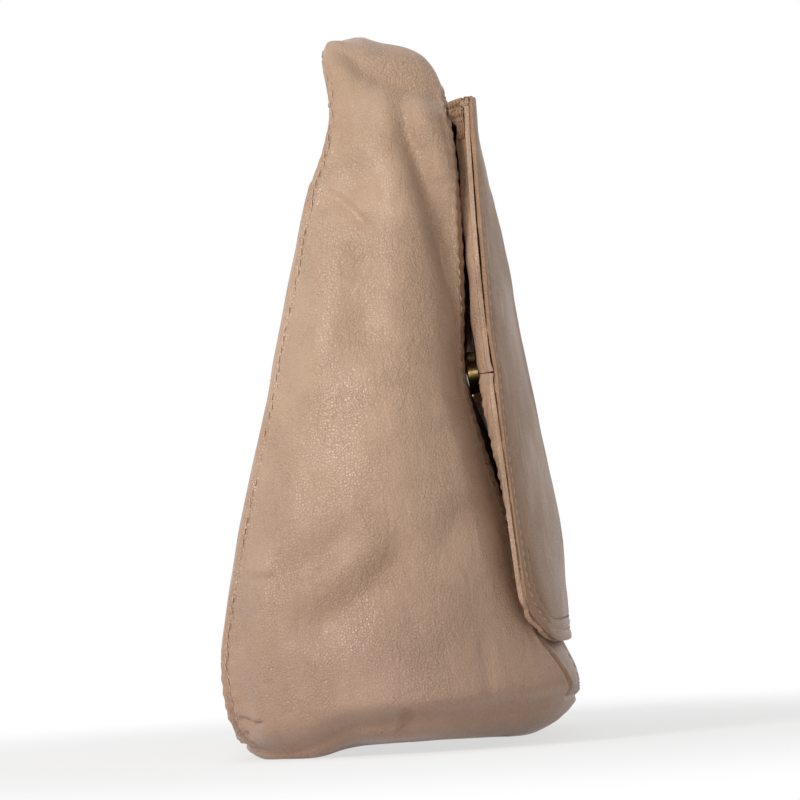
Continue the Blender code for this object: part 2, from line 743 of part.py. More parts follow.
def bail_shape(home, root, bar_back):
    """The bail: two legs out of the slider's plate and a bar across them."""
    leg_in = BAIL_SPAN / 2 - BAIL_LEG
    bar_front = bar_back + BAIL_BAR
    foot = root - BAIL_ROOT
    half_outline = [(BAIL_SPAN / 2, bar_front), (BAIL_SPAN / 2, foot), (leg_in, foot), (leg_in, bar_back)]
    outline = [(home + across, -depth) for across, depth in half_outline]
    outline += [(home - across, -depth) for across, depth in reversed(half_outline)]
    count = len(outline)
    vertices = []
    for z in (ZIP_HEIGHT - BAIL_BAR, ZIP_HEIGHT + BAIL_BAR):
        vertices += [Vector((x, y, z)) for x, y in outline]
    faces = [tuple(range(count)), tuple(range(2 * count - 1, count - 1, -1))]
    faces += [(i, i + count, (i + 1) % count + count, (i + 1) % count) for i in range(count)]
    return add_object("bail_shape", vertices, faces, gold_material, smooth=False)


def combine(body, other, operation):
    """Add or cut away another solid with a Boolean, then drop it."""
    change = body.modifiers.new("Combine", "BOOLEAN")
    change.operation = operation
    change.solver = "EXACT"
    change.object = other
    bpy.context.view_layer.update()
    graph = bpy.context.evaluated_depsgraph_get()
    mesh = bpy.data.meshes.new_from_object(body.evaluated_get(graph))
    body.modifiers.clear()
    body.data = mesh
    bpy.data.objects.remove(other, do_unlink=True)


def build_pull(home, pull_back, pull_front):
    """A flat pull whose round head turns behind the bail's bar."""
    head = BAIL_SPAN / 2 - BAIL_LEG - SLIDER_CLEAR
    half = PULL_WIDTH / 2
    neck = half * PULL_NECK
    tip = half * PULL_TIP
    shoulder = ZIP_HEIGHT - math.sqrt(head**2 - neck**2)
    low = ZIP_HEIGHT - PULL_LENGTH
    outline = []
    for angle in range(-30, 211, 20):
        turn = math.radians(angle)
        outline.append((home + head * math.cos(turn), ZIP_HEIGHT + head * math.sin(turn)))
    outline += [
        (home - neck, shoulder), (home - half, low + half), (home - tip, low),
        (home + tip, low), (home + half, low + half), (home + neck, shoulder),
    ]
    return prism("zip_pull", outline, "y", -pull_front, -pull_back, gold_material)


def carry(name, place, pieces, carrier=None):
    """Hang pieces on an empty that stands on the axis of their joint."""
    axis = bpy.data.objects.new(name, None)
    bpy.context.collection.objects.link(axis)
    axis.location = place
    if carrier:
        axis.parent = carrier
        axis.location = place - carrier.location
    for piece in pieces:
        piece.parent = axis
        piece.location = -place
    return axis


def hinge_point():
    """The axis that the flap turns about, just in front of the yoke."""
    share = share_of_height(FLAP_TOP - HINGE_DROP)
    return front_depth(0, share) + HINGE_STAND_OFF, FLAP_TOP - HINGE_DROP


def root_height(depth):
    """Height of the flap's slanted root at a depth in front of the axis."""
    axis_depth, axis_height = hinge_point()
    return axis_height - max(depth - axis_depth, ROOT_FLAT) * math.tan(ROOT_ANGLE)


def build_flap():
    inner_line_top = BODY_DEPTH * curve_value(FLAP_INNER_LINE, share_of_height(FLAP_TOP))
    outer_line_top = BODY_DEPTH * curve_value(FLAP_OUTER_LINE, share_of_height(FLAP_TOP - LEATHER_SHOULDER))
    lining_top = root_height(inner_line_top + FLAP_LEATHER)
    leather_top = root_height(outer_line_top)

    def lining_far(x, z):
        return flap_inner(x, z) + FLAP_LEATHER

    def leather_near(x, z):
        return flap_outer(x, z) - FLAP_LEATHER

    def pad_near(x, z):
        return lining_far(x, z) + PAD_GAP

    def pad_far(x, z):
        return leather_near(x, z) - PAD_GAP

    lower_top = LINING_SPLIT - SEAM_GAP
    pad_top = (lining_top + leather_top) / 2
    return [
        flap_layer("flap_leather", leather_top, FLAP_BOTTOM, leather_near, flap_outer, leather_material),
        flap_layer("flap_lining_lower", lower_top, FLAP_BOTTOM, flap_inner, lining_far, leather_material),
        flap_upper_layer("flap_lining_upper", lining_top, LINING_SPLIT, flap_inner, lining_far),
        flap_layer("flap_wadding", pad_top, FLAP_BOTTOM, pad_near, pad_far, fabric_material, PAD_INSET),
    ]


def flap_upper_layer(name, top, bottom, near, far):
    """A layer of the flap above its rounded corners."""
    rows = [top + (bottom - top) * step / UPPER_LINING_ROWS for step in range(UPPER_LINING_ROWS + 1)]
    shares = flap_shares()
    vertices = []
    for side in (near, far):
        for z in rows:
            for u in shares:
                x = u * flap_half(z)
                vertices.append(Vector((x, -side(x, z), z)))
    return grid_solid(name, vertices, len(shares), len(rows), leather_material)


def build_hinge():
    """The gathered leather between the yoke and the flap's root."""
    low = root_height(hinge_point()[0]) + SEAM_GAP
    outline = [(share, FLAP_TOP - drop) for share, drop in HINGE_TOP_CURVE]
    outline += [(share, low - drop) for share, drop in HINGE_FOOT_CURVE]
    outline.insert(0, (0.0, low))
    shares = flap_shares()
    vertices = []
    for u in shares:
        x = u * FLAP_HALF_TOP
        yoke = max(front_depth(x, share_of_height(FLAP_TOP)), front_depth(x, share_of_height(low)))
        near = yoke + SEAM_GAP
        far = flap_outer(x, FLAP_TOP - HINGE_SHOULDER)
        for share, z in outline:
            vertices.append(Vector((x, -(near + (far - near) * share), z)))
    count = len(outline)
    faces = [tuple(range(count)), tuple(range(len(vertices) - 1, len(vertices) - count - 1, -1))]
    for first in range(0, (len(shares) - 1) * count, count):
        for step in range(count):
            a = first + step
            b = first + (step + 1) % count
            faces.append((a, a + count, b + count, b))
    add_object("flap_hinge", vertices, faces, leather_material)


def snap_frame():
    """Middle and outward direction of the snap on the front panel."""
    share_high = share_of_height(SNAP_HEIGHT + SNAP_RADIUS)
    share_low = share_of_height(SNAP_HEIGHT - SNAP_RADIUS)
    high, low = front_depth(0, share_high), front_depth(0, share_low)
    normal = Vector((0, -2 * SNAP_RADIUS, low - high)).normalized()
    sag = max(front_depth(0, share_of_height(SNAP_HEIGHT)) - (high + low) / 2, 0.0)
    middle = Vector((0, -(high + low) / 2 - sag, SNAP_HEIGHT))
    return middle, normal


def turned_disc(name, middle, normal, profile, made_of, segments=24):
    """Turn a profile of (radius, distance along the normal) into a disc."""
    across = Vector((1, 0, 0))
    up = normal.cross(across)
    rings = []
    vertices = []
    for radius, along in profile:
        if radius == 0:
            vertices.append(middle + normal * along)
            rings.append([len(vertices) - 1] * segments)
            continue
        start = len(vertices)
        for index in range(segments):
            angle = 2 * math.pi * index / segments
            spoke = across * math.cos(angle) + up * math.sin(angle)
            vertices.append(middle + spoke * radius + normal * along)
        rings.append(list(range(start, start + segments)))
    faces = []
    for low, high in zip(rings, rings[1:]):
        for index in range(segments):
            after = (index + 1) % segments
            corners = [low[index], low[after], high[after], high[index]]
            faces.append(tuple(dict.fromkeys(corners)))
    return add_object(name, vertices, faces, made_of)


def build_snap():
    """Both halves of the snap; the stud half goes with the flap."""
    middle, normal = snap_frame()
    base = LAYER_GAP
    face = base + SNAP_DISC
    floor = face - SNAP_STUD_LENGTH - SNAP_SPACE
    hole = SNAP_STUD_RADIUS + SNAP_SPACE
    socket = [(0, base), *disc_edge(base, face), (hole, face), (hole, floor), (0, floor)]
    turned_disc("snap_socket", middle, normal, socket, gold_material)
    washer_face = -LEATHER - 2 * LAYER_GAP
    washer = washer_profile(washer_face - WASHER_THICKNESS, washer_face)
    turned_disc("snap_socket_washer", middle, normal, washer, gold_material)
    stud_face = face + SNAP_SPACE
    stud_back = stud_face + SNAP_DISC
    tip = stud_face - SNAP_STUD_LENGTH
    stud = [(0, tip), (SNAP_STUD_RADIUS, tip), (SNAP_STUD_RADIUS, stud_face)]
    stud += [*disc_edge(stud_face, stud_back), (0, stud_back)]
    return turned_disc("snap_stud", middle, normal, stud, gold_material)


def disc_edge(low, high):
    """The chamfered rim of a snap disc between its two faces."""
    flat = SNAP_RADIUS - SNAP_EDGE
    return [(flat, low), (SNAP_RADIUS, low + SNAP_EDGE), (SNAP_RADIUS, high - SNAP_EDGE), (flat, high)]


def washer_profile(low, high):
    return [(0, low), (WASHER_RADIUS, low), (WASHER_RADIUS, high), (0, high)]


def build_washer_on_flap():
    """The stud's washer behind the lining, let into the wadding."""
    middle, normal = snap_frame()
    lining_face = flap_inner(0, SNAP_HEIGHT) + middle.y
    low = lining_face + FLAP_LEATHER + 2 * SEAM_GAP
    high = low + WASHER_THICKNESS
    washer = turned_disc("snap_stud_washer", middle, normal, washer_profile(low, high), gold_material)
    wide = WASHER_RADIUS + LAYER_GAP
    room_low, room_high = low - 4 * LAYER_GAP, high + LAYER_GAP
    room = [(0, room_low), (wide, room_low), (wide, room_high), (0, room_high)]
    cutter = turned_disc("washer_room", middle, normal, room, gold_material)
    combine(bpy.data.objects["flap_wadding"], cutter, "DIFFERENCE")
    return washer


def build_loops():
    for name, sign in (("left", -1), ("right", 1)):
        xs = [sign * LOOP_CENTRE_X + LOOP_WIDTH * (step / 3 - 0.5) for step in range(4)]
        heights = loop_heights()
        vertices = []
        for thickness in (0.0, LEATHER):
            for z, lift in heights:
                panel = min(back_depth(x, share_of_height(z)) for x in xs)
                depth = panel - LOOP_SEAT - lift - thickness
                vertices += [Vector((x, -depth, z)) for x in xs]
        grid_solid("belt_loop_" + name, vertices, len(xs), len(heights), leather_material)


def loop_heights():
    """Heights up a loop with how far it stands off the back panel."""
    points = [(LOOP_LOW, 0.0), (LOOP_LOW + LOOP_SEWN, 0.0)]
    for step in range(1, LOOP_RISE_STEPS + 1):
        share = step / LOOP_RISE_STEPS
        lift = LOOP_GAP * (1 - math.cos(math.pi * share)) / 2
        points.append((LOOP_LOW + LOOP_SEWN + LOOP_RISE * share, lift))
    points.append(((LOOP_LOW + LOOP_HIGH) / 2, LOOP_GAP))
    points += [(LOOP_LOW + LOOP_HIGH - z, lift) for z, lift in reversed(points[:-1])]
    return points


def build_board():
    """The stiff board that keeps the base flat, on the lining."""
    low = lining_depth() + LINING + LAYER_GAP + SEAM_GAP
    outline = [
        (-BOARD_HALF_Y, low), (BOARD_HALF_Y, low),
        (BOARD_HALF_Y, low + BOARD_THICKNESS), (-BOARD_HALF_Y, low + BOARD_THICKNESS),
    ]
    prism("base_board", outline, "x", -BOARD_HALF_X, BOARD_HALF_X, fabric_material)


def build_bag():
    clear_scene()
    build_body(BodySurface())
    build_slider(build_zip())
    build_hinge()
    flap_pieces = build_flap()
    flap_pieces.append(build_snap())
    flap_pieces.append(build_washer_on_flap())
    hinge_depth, hinge_height = hinge_point()
    carry("flap_axis", Vector((0.0, -hinge_depth, hinge_height)), flap_pieces)
    build_loops()
    build_board()


build_bag()
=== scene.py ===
import math

import bpy
import bmesh
import numpy as np
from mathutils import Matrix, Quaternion, Vector
from mathutils.bvhtree import BVHTree
from mathutils.kdtree import KDTree


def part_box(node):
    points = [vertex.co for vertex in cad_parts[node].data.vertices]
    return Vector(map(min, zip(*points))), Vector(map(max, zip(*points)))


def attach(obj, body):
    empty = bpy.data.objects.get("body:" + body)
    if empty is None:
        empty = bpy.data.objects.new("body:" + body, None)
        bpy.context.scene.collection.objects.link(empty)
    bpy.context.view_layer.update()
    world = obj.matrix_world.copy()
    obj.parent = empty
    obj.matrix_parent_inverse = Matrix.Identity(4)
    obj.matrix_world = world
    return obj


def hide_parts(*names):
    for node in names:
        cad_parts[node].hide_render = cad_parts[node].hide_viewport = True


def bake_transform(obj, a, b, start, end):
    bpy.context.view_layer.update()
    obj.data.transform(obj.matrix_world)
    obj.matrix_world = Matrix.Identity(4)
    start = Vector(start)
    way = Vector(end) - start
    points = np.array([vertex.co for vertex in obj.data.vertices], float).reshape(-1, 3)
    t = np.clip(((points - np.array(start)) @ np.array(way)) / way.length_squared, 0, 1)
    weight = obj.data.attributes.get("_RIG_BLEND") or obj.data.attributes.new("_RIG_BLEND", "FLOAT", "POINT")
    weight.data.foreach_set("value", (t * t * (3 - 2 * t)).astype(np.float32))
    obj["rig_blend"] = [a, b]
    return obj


# A soft leather belt bag, seen from its narrow side. Metres, front towards -Y.
# Folds and stitch rows are given in millimetres: how far forward, then how high.
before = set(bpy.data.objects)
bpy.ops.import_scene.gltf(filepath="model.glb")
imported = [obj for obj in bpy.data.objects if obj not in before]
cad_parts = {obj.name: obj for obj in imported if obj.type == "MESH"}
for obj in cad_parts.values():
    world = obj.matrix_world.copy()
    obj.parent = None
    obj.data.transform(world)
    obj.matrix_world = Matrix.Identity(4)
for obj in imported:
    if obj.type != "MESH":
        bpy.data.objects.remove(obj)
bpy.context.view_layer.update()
mm = 0.001


# ---- small tools for meshes

def toMesh(name, vertices, faces):
    mesh = bpy.data.meshes.new(name)
    mesh.from_pydata([tuple(v) for v in vertices], [], [tuple(f) for f in faces])
    return toObject(name, mesh)


def linked(name, data):
    thing = bpy.data.objects.new(name, data)
    bpy.context.collection.objects.link(thing)
    return thing


def toObject(name, mesh):
    mesh.shade_smooth()
    return linked(name, mesh)


def workOn(mesh):
    work = bmesh.new()
    work.from_mesh(mesh)
    return work


def fromWork(name, work):
    mesh = bpy.data.meshes.new(name)
    work.to_mesh(mesh)
    work.free()
    return toObject(name, mesh)


def evaluatedMesh(thing):
    graph = bpy.context.evaluated_depsgraph_get()
    return bpy.data.meshes.new_from_object(thing.evaluated_get(graph), depsgraph=graph)


def bake(thing):
    # replace the mesh by what its modifiers make of it
    bpy.context.view_layer.update()
    mesh = evaluatedMesh(thing)
    thing.modifiers.clear()
    thing.data = mesh
    mesh.shade_smooth()
    return thing


def modify(thing, kind, **settings):
    change = thing.modifiers.new(kind.title(), kind)
    for key, value in settings.items():
        setattr(change, key, value)
    return change


def subdivide(thing, levels):
    modify(thing, "SUBSURF", levels=levels, render_levels=levels, boundary_smooth="PRESERVE_CORNERS")
    return bake(thing)


def subdivideThrough(thing, levels, held=1.0):
    # subdivision that still passes through the first points that are held
    wanted = points(thing)
    pull = wanted.copy()
    for _ in range(3):
        setPoints(thing, pull)
        trial = subdivide(linked("trial", thing.data.copy()), levels)
        pull += 0.8 * held * (wanted - points(trial)[:len(wanted)])
        bpy.data.objects.remove(trial)
    setPoints(thing, pull)
    return subdivide(thing, levels)


def meshPoints(mesh):
    co = np.zeros(len(mesh.vertices) * 3)
    mesh.vertices.foreach_get("co", co)
    return co.reshape(-1, 3)


def points(thing):
    return meshPoints(thing.data)


def normals(thing):
    out = np.zeros(len(thing.data.vertices) * 3, np.float32)
    thing.data.vertex_normals.foreach_get("vector", out)
    return out.reshape(-1, 3).astype(float)


def setPoints(thing, co):
    thing.data.vertices.foreach_set("co", co.reshape(-1).astype(np.float32))
    thing.data.update()


def relax(thing, share, rounds):
    # even out crowded points, each by its own share
    ends = np.zeros(len(thing.data.edges) * 2, int)
    thing.data.edges.foreach_get("vertices", ends)
    first, second = ends.reshape(-1, 2).T
    co = points(thing)
    count = np.bincount(ends, minlength=len(co))[:, None]
    for _ in range(rounds):
        total = np.zeros_like(co)
        np.add.at(total, first, co[second])
        np.add.at(total, second, co[first])
        co += 0.6 * share[:, None] * (total / count - co)
    setPoints(thing, co)


def mergedCopy(node):
    # a CAD node's mesh is loose triangles, so its copy is merged first
    work = workOn(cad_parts[node].data)
    bmesh.ops.remove_doubles(work, verts=work.verts, dist=1e-5)
    return work


def toQuads(work):
    bmesh.ops.join_triangles(
        work, faces=work.faces, angle_face_threshold=math.radians(50),
        angle_shape_threshold=math.radians(60),
    )


def smoothStep(low, high, value):
    t = np.clip((value - low) / (high - low), 0, 1)
    return t * t * (3 - 2 * t)


def bell(value, width):
    return np.exp(-(value / width) ** 2)


def softNoise(co, size, seed):
    # slow waves in fixed directions, about -1 to 1
    dice = np.random.RandomState(seed)
    total = np.zeros(len(co))
    for _ in range(7):
        way = dice.normal(size=3)
        way /= np.linalg.norm(way)
        length = size * dice.uniform(0.7, 1.5)
        total += np.sin(co @ way * (2 * math.pi / length) + dice.uniform(0, 6.3))
    return total / 3.0


def coat(thing, paint):
    thing.data.materials.clear()
    thing.data.materials.append(paint)


def finishPiece(thing, body, slotName, paint, *nodes):
    coat(thing, paint)
    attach(thing, body)
    if nodes:
        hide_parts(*nodes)
    return thing


# ---- shader maths: a socket that takes part in Python expressions

class Wire:
    def __init__(self, tree, socket=None):
        self.tree = tree
        self.socket = socket

    def node(self, kind, settings=None, values=None, out=0):
        made = self.tree.nodes.new(kind)
        for key, value in (settings or {}).items():
            setattr(made, key, value)
        for key, value in (values or {}).items():
            if isinstance(value, Wire):
                self.tree.links.new(value.socket, made.inputs[key])
            else:
                made.inputs[key].default_value = value
        return Wire(self.tree, made.outputs[out])

    def maths(self, operation, first, second):
        return self.node("ShaderNodeMath", {"operation": operation}, {0: first, 1: second})

    def __add__(self, other):
        return self.maths("ADD", self, other)

    def __sub__(self, other):
        return self.maths("SUBTRACT", self, other)

    def __rsub__(self, other):
        return self.maths("SUBTRACT", other, self)

    def __mul__(self, other):
        return self.maths("MULTIPLY", self, other)

    __radd__ = __add__
    __rmul__ = __mul__

    def between(self, first, second):
        # self runs a colour from the first to the second
        values = {0: self, 6: first, 7: second}
        return self.node("ShaderNodeMix", {"data_type": "RGBA"}, values, 2)

    def spread(self, low, high):
        # stretch low..high to 0..1 and clamp
        values = {"Value": self, "From Min": low, "From Max": high}
        return self.node("ShaderNodeMapRange", {"interpolation_type": "SMOOTHSTEP"}, values)


def newPaint(name):
    paint = bpy.data.materials.new(name)
    paint.use_nodes = True
    paint.node_tree.nodes.clear()
    return paint, Wire(paint.node_tree)


def closePaint(net, shader):
    output = net.tree.nodes.new("ShaderNodeOutputMaterial")
    net.tree.links.new(shader.socket, output.inputs["Surface"])


def placeOf(net, scale=(1, 1, 1), turn=(0, 0, 0)):
    spot = net.node("ShaderNodeTexCoord", out="Object")
    return net.node("ShaderNodeMapping", {}, {"Vector": spot, "Scale": scale, "Rotation": turn})


def noiseAt(net, place, size, detail=3.0, roughness=0.55, distortion=0.0):
    return net.node("ShaderNodeTexNoise", {}, {
        "Vector": place, "Scale": 1 / size, "Detail": detail, "Roughness": roughness,
        "Distortion": distortion,
    }, "Fac")


def cellsAt(net, place, size, feature="F1", randomness=1.0):
    return net.node("ShaderNodeTexVoronoi", {"feature": feature}, {
        "Vector": place, "Scale": 1 / size, "Randomness": randomness,
    }, "Distance")


def bumpOf(net, height, distance):
    return net.node("ShaderNodeBump", {}, {"Height": height, "Distance": distance, "Strength": 1.0})


leatherLook = {
    "grain": 0.86 * mm,      # width of one pebble
    "grainDepth": 0.21 * mm,
    "wrinkle": 2.5 * mm,     # fine wrinkles between groups of pebbles
    "wrinkleDepth": 0.070 * mm,
    "crease": 8.0 * mm,      # soft broad creases
    "creaseDepth": 0.16 * mm,
    "ripple": 6.0 * mm,      # slow unevenness that catches the light
    "rippleDepth": 0.26 * mm,
    "patch": 32 * mm,        # how far the tone stays alike
    "drift": 9 * mm,
    "zone": 19 * mm,         # how far wrinkled and plain places reach
    "rosyBelow": (0.035, 0.11),
    "roughness": (0.33, 0.46),
}


def bentPlace(net, place, size, reach):
    # carry each place off a little, so that lines drawn on it wander
    wander = net.node("ShaderNodeTexNoise", {}, {
        "Vector": place, "Scale": 1 / size, "Detail": 2.0,
    }, "Color")
    return net.node("ShaderNodeVectorMath", {"operation": "MULTIPLY_ADD"}, {
        0: wander, 1: (reach, reach, reach), 2: place,
    })


def leatherPaint(name, colours, creaseGain, turn, scale, shine):
    # light and dark leather, and low, the rosier tone near the base
    light, dark, low = colours
    look = leatherLook
    paint, net = newPaint(name)
    place = placeOf(net)
    bent = bentPlace(net, place, 3.3 * mm, 1.2 * mm)
    streaks = bentPlace(net, placeOf(net, scale=scale, turn=turn), 7 * mm, 5.0 * mm)
    domes = cellsAt(net, bent, look["grain"], "SMOOTH_F1", 0.9)
    crack = cellsAt(net, bent, look["grain"], "DISTANCE_TO_EDGE", 0.9).spread(0.0, 0.16)
    wrinkle = cellsAt(net, streaks, look["wrinkle"], "DISTANCE_TO_EDGE").spread(0.0, 0.15)
    crease = cellsAt(net, streaks, look["crease"], "DISTANCE_TO_EDGE").spread(0.0, 0.24)
    patch = noiseAt(net, place, look["patch"], 2.0).spread(0.35, 0.65)
    drift = noiseAt(net, place, look["drift"], 3.0)
    zone = noiseAt(net, place, look["zone"], 2.0).spread(0.36, 0.62)
    ripple = noiseAt(net, streaks, look["ripple"], 3.0, 0.5, 0.4)
    tone = (patch * 0.50 + drift * 0.40 + ripple * 0.20).spread(0.30, 0.85)
    colour = tone.between(dark, light)
    height = net.node("ShaderNodeSeparateXYZ", {}, {"Vector": place}, "Z")
    rosy = (1 - (height + drift * 0.03).spread(*look["rosyBelow"])) * 0.75
    colour = rosy.between(colour, low)
    # painted shade: the grain's cracks and the fine wrinkle lines are coloured towards a darker, deeper
    # tone, for the shade that falls in them
    deep = (0.72 * dark[0], 0.68 * dark[1], 0.64 * dark[2], 1)
    lines = 1 - (1 - wrinkle) * zone
    wearAndCrackShade = crack * 0.20 + lines * 0.20 + 0.60
    colour = wearAndCrackShade.between(deep, colour)
    glossy, matt = look["roughness"]
    rough = patch * (glossy - matt) + matt + (1 - crack) * 0.10
    pebble = ((1 - domes) * 0.8 + crack * 0.5) * look["grainDepth"] * (zone * 0.4 + 0.6)
    folds = lines * (look["wrinkleDepth"] * creaseGain)
    folds = folds + crease * (1 - zone * 0.7) * (look["creaseDepth"] * creaseGain)
    slow = ripple * (look["rippleDepth"] * creaseGain)
    shader = net.node("ShaderNodeBsdfPrincipled", {}, {
        "Base Color": colour, "Roughness": rough, "Normal": bumpOf(net, pebble + folds + slow, 1.0),
        "Specular IOR Level": shine, "Sheen Weight": 0.04, "Sheen Roughness": 0.5,
    })
    closePaint(net, shader)
    return paint


def goldPaint():
    paint, net = newPaint("polishedGold")
    place = placeOf(net)
    scratches = noiseAt(net, placeOf(net, scale=(1, 6, 6)), 0.4 * mm, 3.0)
    tone = noiseAt(net, place, 3 * mm, 2.0)
    colour = tone.between((0.93, 0.66, 0.26, 1), (0.80, 0.50, 0.16, 1))
    shader = net.node("ShaderNodeBsdfPrincipled", {}, {
        "Base Color": colour, "Metallic": 1.0, "Roughness": scratches * 0.14 + 0.24,
        "Normal": bumpOf(net, scratches, 0.006 * mm),
    })
    closePaint(net, shader)
    return paint


def clothPaint(name, light, dark, pitch):
    # a plain weave: threads over and under each other
    paint, net = newPaint(name)
    threads = [net.node("ShaderNodeTexWave", {"bands_direction": way}, {
        "Vector": placeOf(net), "Scale": 0.5 / pitch, "Distortion": 0.4, "Detail": 1.0,
    }, "Fac") for way in ("X", "Z")]
    weave = net.maths("MAXIMUM", *threads)
    wearAndCrackShade = noiseAt(net, placeOf(net), 7 * mm, 3.0)
    colour = (weave * 0.6 + wearAndCrackShade * 0.4).between(dark, light)
    shader = net.node("ShaderNodeBsdfPrincipled", {}, {
        "Base Color": colour, "Roughness": wearAndCrackShade * 0.1 + 0.8, "Sheen Weight": 0.25,
        "Normal": bumpOf(net, weave, 0.06 * mm),
    })
    closePaint(net, shader)
    return paint


def threadPaint(name, dark, light):
    paint, net = newPaint(name)
    twist = net.node("ShaderNodeTexWave", {"bands_direction": "DIAGONAL"}, {
        "Vector": placeOf(net), "Scale": 1500.0, "Distortion": 1.0,
    }, "Fac")
    wearAndCrackShade = noiseAt(net, placeOf(net), 4 * mm, 2.0)
    colour = (twist * 0.5 + wearAndCrackShade * 0.5).between(dark, light)
    shader = net.node("ShaderNodeBsdfPrincipled", {}, {
        "Base Color": colour, "Roughness": wearAndCrackShade * 0.1 + 0.55, "Normal": bumpOf(net, twist, 0.04 * mm),
    })
    closePaint(net, shader)
    return paint


bodyColours = (0.545, 0.360, 0.241, 1), (0.490, 0.319, 0.211, 1), (0.430, 0.272, 0.196, 1)
# painted shade: the flap's colours are a darker copy of the same body leather, for the shade on the flap's
# front, the front panel and the hinge
paintedShadeColours = (0.430, 0.260, 0.160, 1), (0.385, 0.230, 0.140, 1), (0.375, 0.222, 0.140, 1)
# painted light: the lining's colours are brighter than the body leather, to stand in for the light on the
# lining's edge in the gap under the flap
paintedLightLiningColours = (0.62, 0.41, 0.28, 1), (0.470, 0.303, 0.202, 1), (0.50, 0.318, 0.220, 1)
leather = leatherPaint("taupeLeather", bodyColours, 1.0, (0.35, 0, 0), (1, 1, 0.55), 0.46)
paintedShadeLeather = leatherPaint("taupeLeatherPaintedShade", paintedShadeColours, 1.1, (0.6, 0, 0), (1, 1, 0.6), 0.18)
liningLeather = leatherPaint("innerFlapLeather", paintedLightLiningColours, 1.9, (0, 0, 0), (1.6, 1.6, 0.25), 0.3)
slantedLining = leatherPaint(
    "innerFlapLeatherSlanted", paintedLightLiningColours, 1.7, (0, 0.75, 0), (1.7, 1.7, 0.35), 0.3
)
gold = goldPaint()
thread = threadPaint("sewingThread", (0.50, 0.36, 0.26, 1), (0.68, 0.52, 0.39, 1))
# painted shade: a dark thread for the flap's low row and the hinge rows, for the shade the stitches sit in
paintedShadeThread = threadPaint("paintedShadeThread", (0.20, 0.135, 0.09, 1), (0.36, 0.25, 0.18, 1))
tapeCloth = clothPaint("zipTapeCloth", (0.30, 0.20, 0.14, 1), (0.15, 0.10, 0.07, 1), 0.5 * mm)
liningCloth = clothPaint("liningCloth", (0.10, 0.07, 0.055, 1), (0.045, 0.03, 0.025, 1), 0.35 * mm)
boardCloth = clothPaint("boardCloth", (0.13, 0.09, 0.07, 1), (0.06, 0.045, 0.035, 1), 0.6 * mm)
felt = clothPaint("softFelt", (0.78, 0.74, 0.67, 1), (0.62, 0.58, 0.52, 1), 1.2 * mm)
print("paints made")


# ---- camera, lamps and the pale floor

view = {"spot": (-1.700, -0.0059, 0.058), "aim": (0.0, -0.0059, 0.103), "lens": 253.87, "roll": -3.3}
studio = {
    "key": ((-1.35, 1.05, 0.85), 0.7, 18.5),
    "fill": ((-1.7, -0.6, 0.5), 1.4, 1.9),
    "front": ((-2.3, 0.002, 0.045), 0.20, 3.0),   # reaches into the gap under the flap
    "top": ((0.0, 0.3, 1.7), 1.2, 5.0),
    "back": ((1.3, -1.1, 1.0), 1.2, 2.5),
    "ambient": 0.27,
    "floorWhite": 0.66,
}


def placeCamera():
    camera = linked("Camera", bpy.data.cameras.new("Camera"))
    camera.data.lens = view["lens"]
    camera.location = view["spot"]
    way = Vector(view["aim"]) - Vector(view["spot"])
    camera.rotation_mode = "QUATERNION"
    turn = Quaternion((0, 0, 1), math.radians(view["roll"]))
    camera.rotation_quaternion = way.to_track_quat("-Z", "Y") @ turn
    bpy.context.scene.camera = camera


def placeLamps():
    for name in ("key", "fill", "front", "top", "back"):
        spot, size, power = studio[name]
        data = bpy.data.lights.new(name, "AREA")
        data.shape = "DISK"
        data.size = size
        data.energy = power
        lamp = linked(name, data)
        lamp.location = spot
        lamp.rotation_euler = (Vector((0, 0, 0.1)) - Vector(spot)).to_track_quat("-Z", "Y").to_euler()


def seenDirectly(net):
    # 1 for the camera, mirrors and glass, 0 for light that falls on things
    path = net.tree.nodes.new("ShaderNodeLightPath")
    rays = [Wire(net.tree, path.outputs[f"Is {kind} Ray"])
            for kind in ("Camera", "Glossy", "Transmission")]
    return (rays[0] + rays[1] + rays[2]).spread(0.0, 1.0)


def makeRoom():
    world = bpy.data.worlds.new("paleRoom")
    bpy.context.scene.world = world
    world.use_nodes = True
    world.node_tree.nodes.clear()
    net = Wire(world.node_tree)
    strength = seenDirectly(net) * (1 - studio["ambient"]) + studio["ambient"]
    sky = net.node("ShaderNodeBackground", {}, {"Color": (1, 1, 1, 1), "Strength": strength})
    output = net.tree.nodes.new("ShaderNodeOutputWorld")
    net.tree.links.new(sky.socket, output.inputs["Surface"])
    corners = [(x * 3.0, y * 3.0, 0) for x, y in ((-1, -1), (1, -1), (1, 1), (-1, 1))]
    floor = toMesh("floor", corners, [(0, 1, 2, 3)])
    paint, net = newPaint("paleFloor")
    spot = placeOf(net, scale=(0.7, 1, 1))
    far = net.node("ShaderNodeVectorMath", {"operation": "LENGTH"}, {0: spot}, "Value")
    far = far.spread(0.12, 0.30)
    matt = net.node("ShaderNodeBsdfDiffuse", {}, {"Color": (0.93, 0.93, 0.93, 1)})
    glow = net.node("ShaderNodeEmission", {}, {"Color": (1, 1, 1, 1), "Strength": 1.0})
    # the camera sees the floor partly as plain white, and wholly so far from the bag
    share = seenDirectly(net) * (far * (1 - studio["floorWhite"]) + studio["floorWhite"])
    closePaint(net, net.node("ShaderNodeMixShader", {}, {0: share, 1: matt, 2: glow}))
    floor.data.materials.append(paint)


placeCamera()
placeLamps()
makeRoom()
bpy.context.scene.view_settings.view_transform = "Standard"
print("camera and room ready")


# ---- repeats along a path: stitches and zip teeth

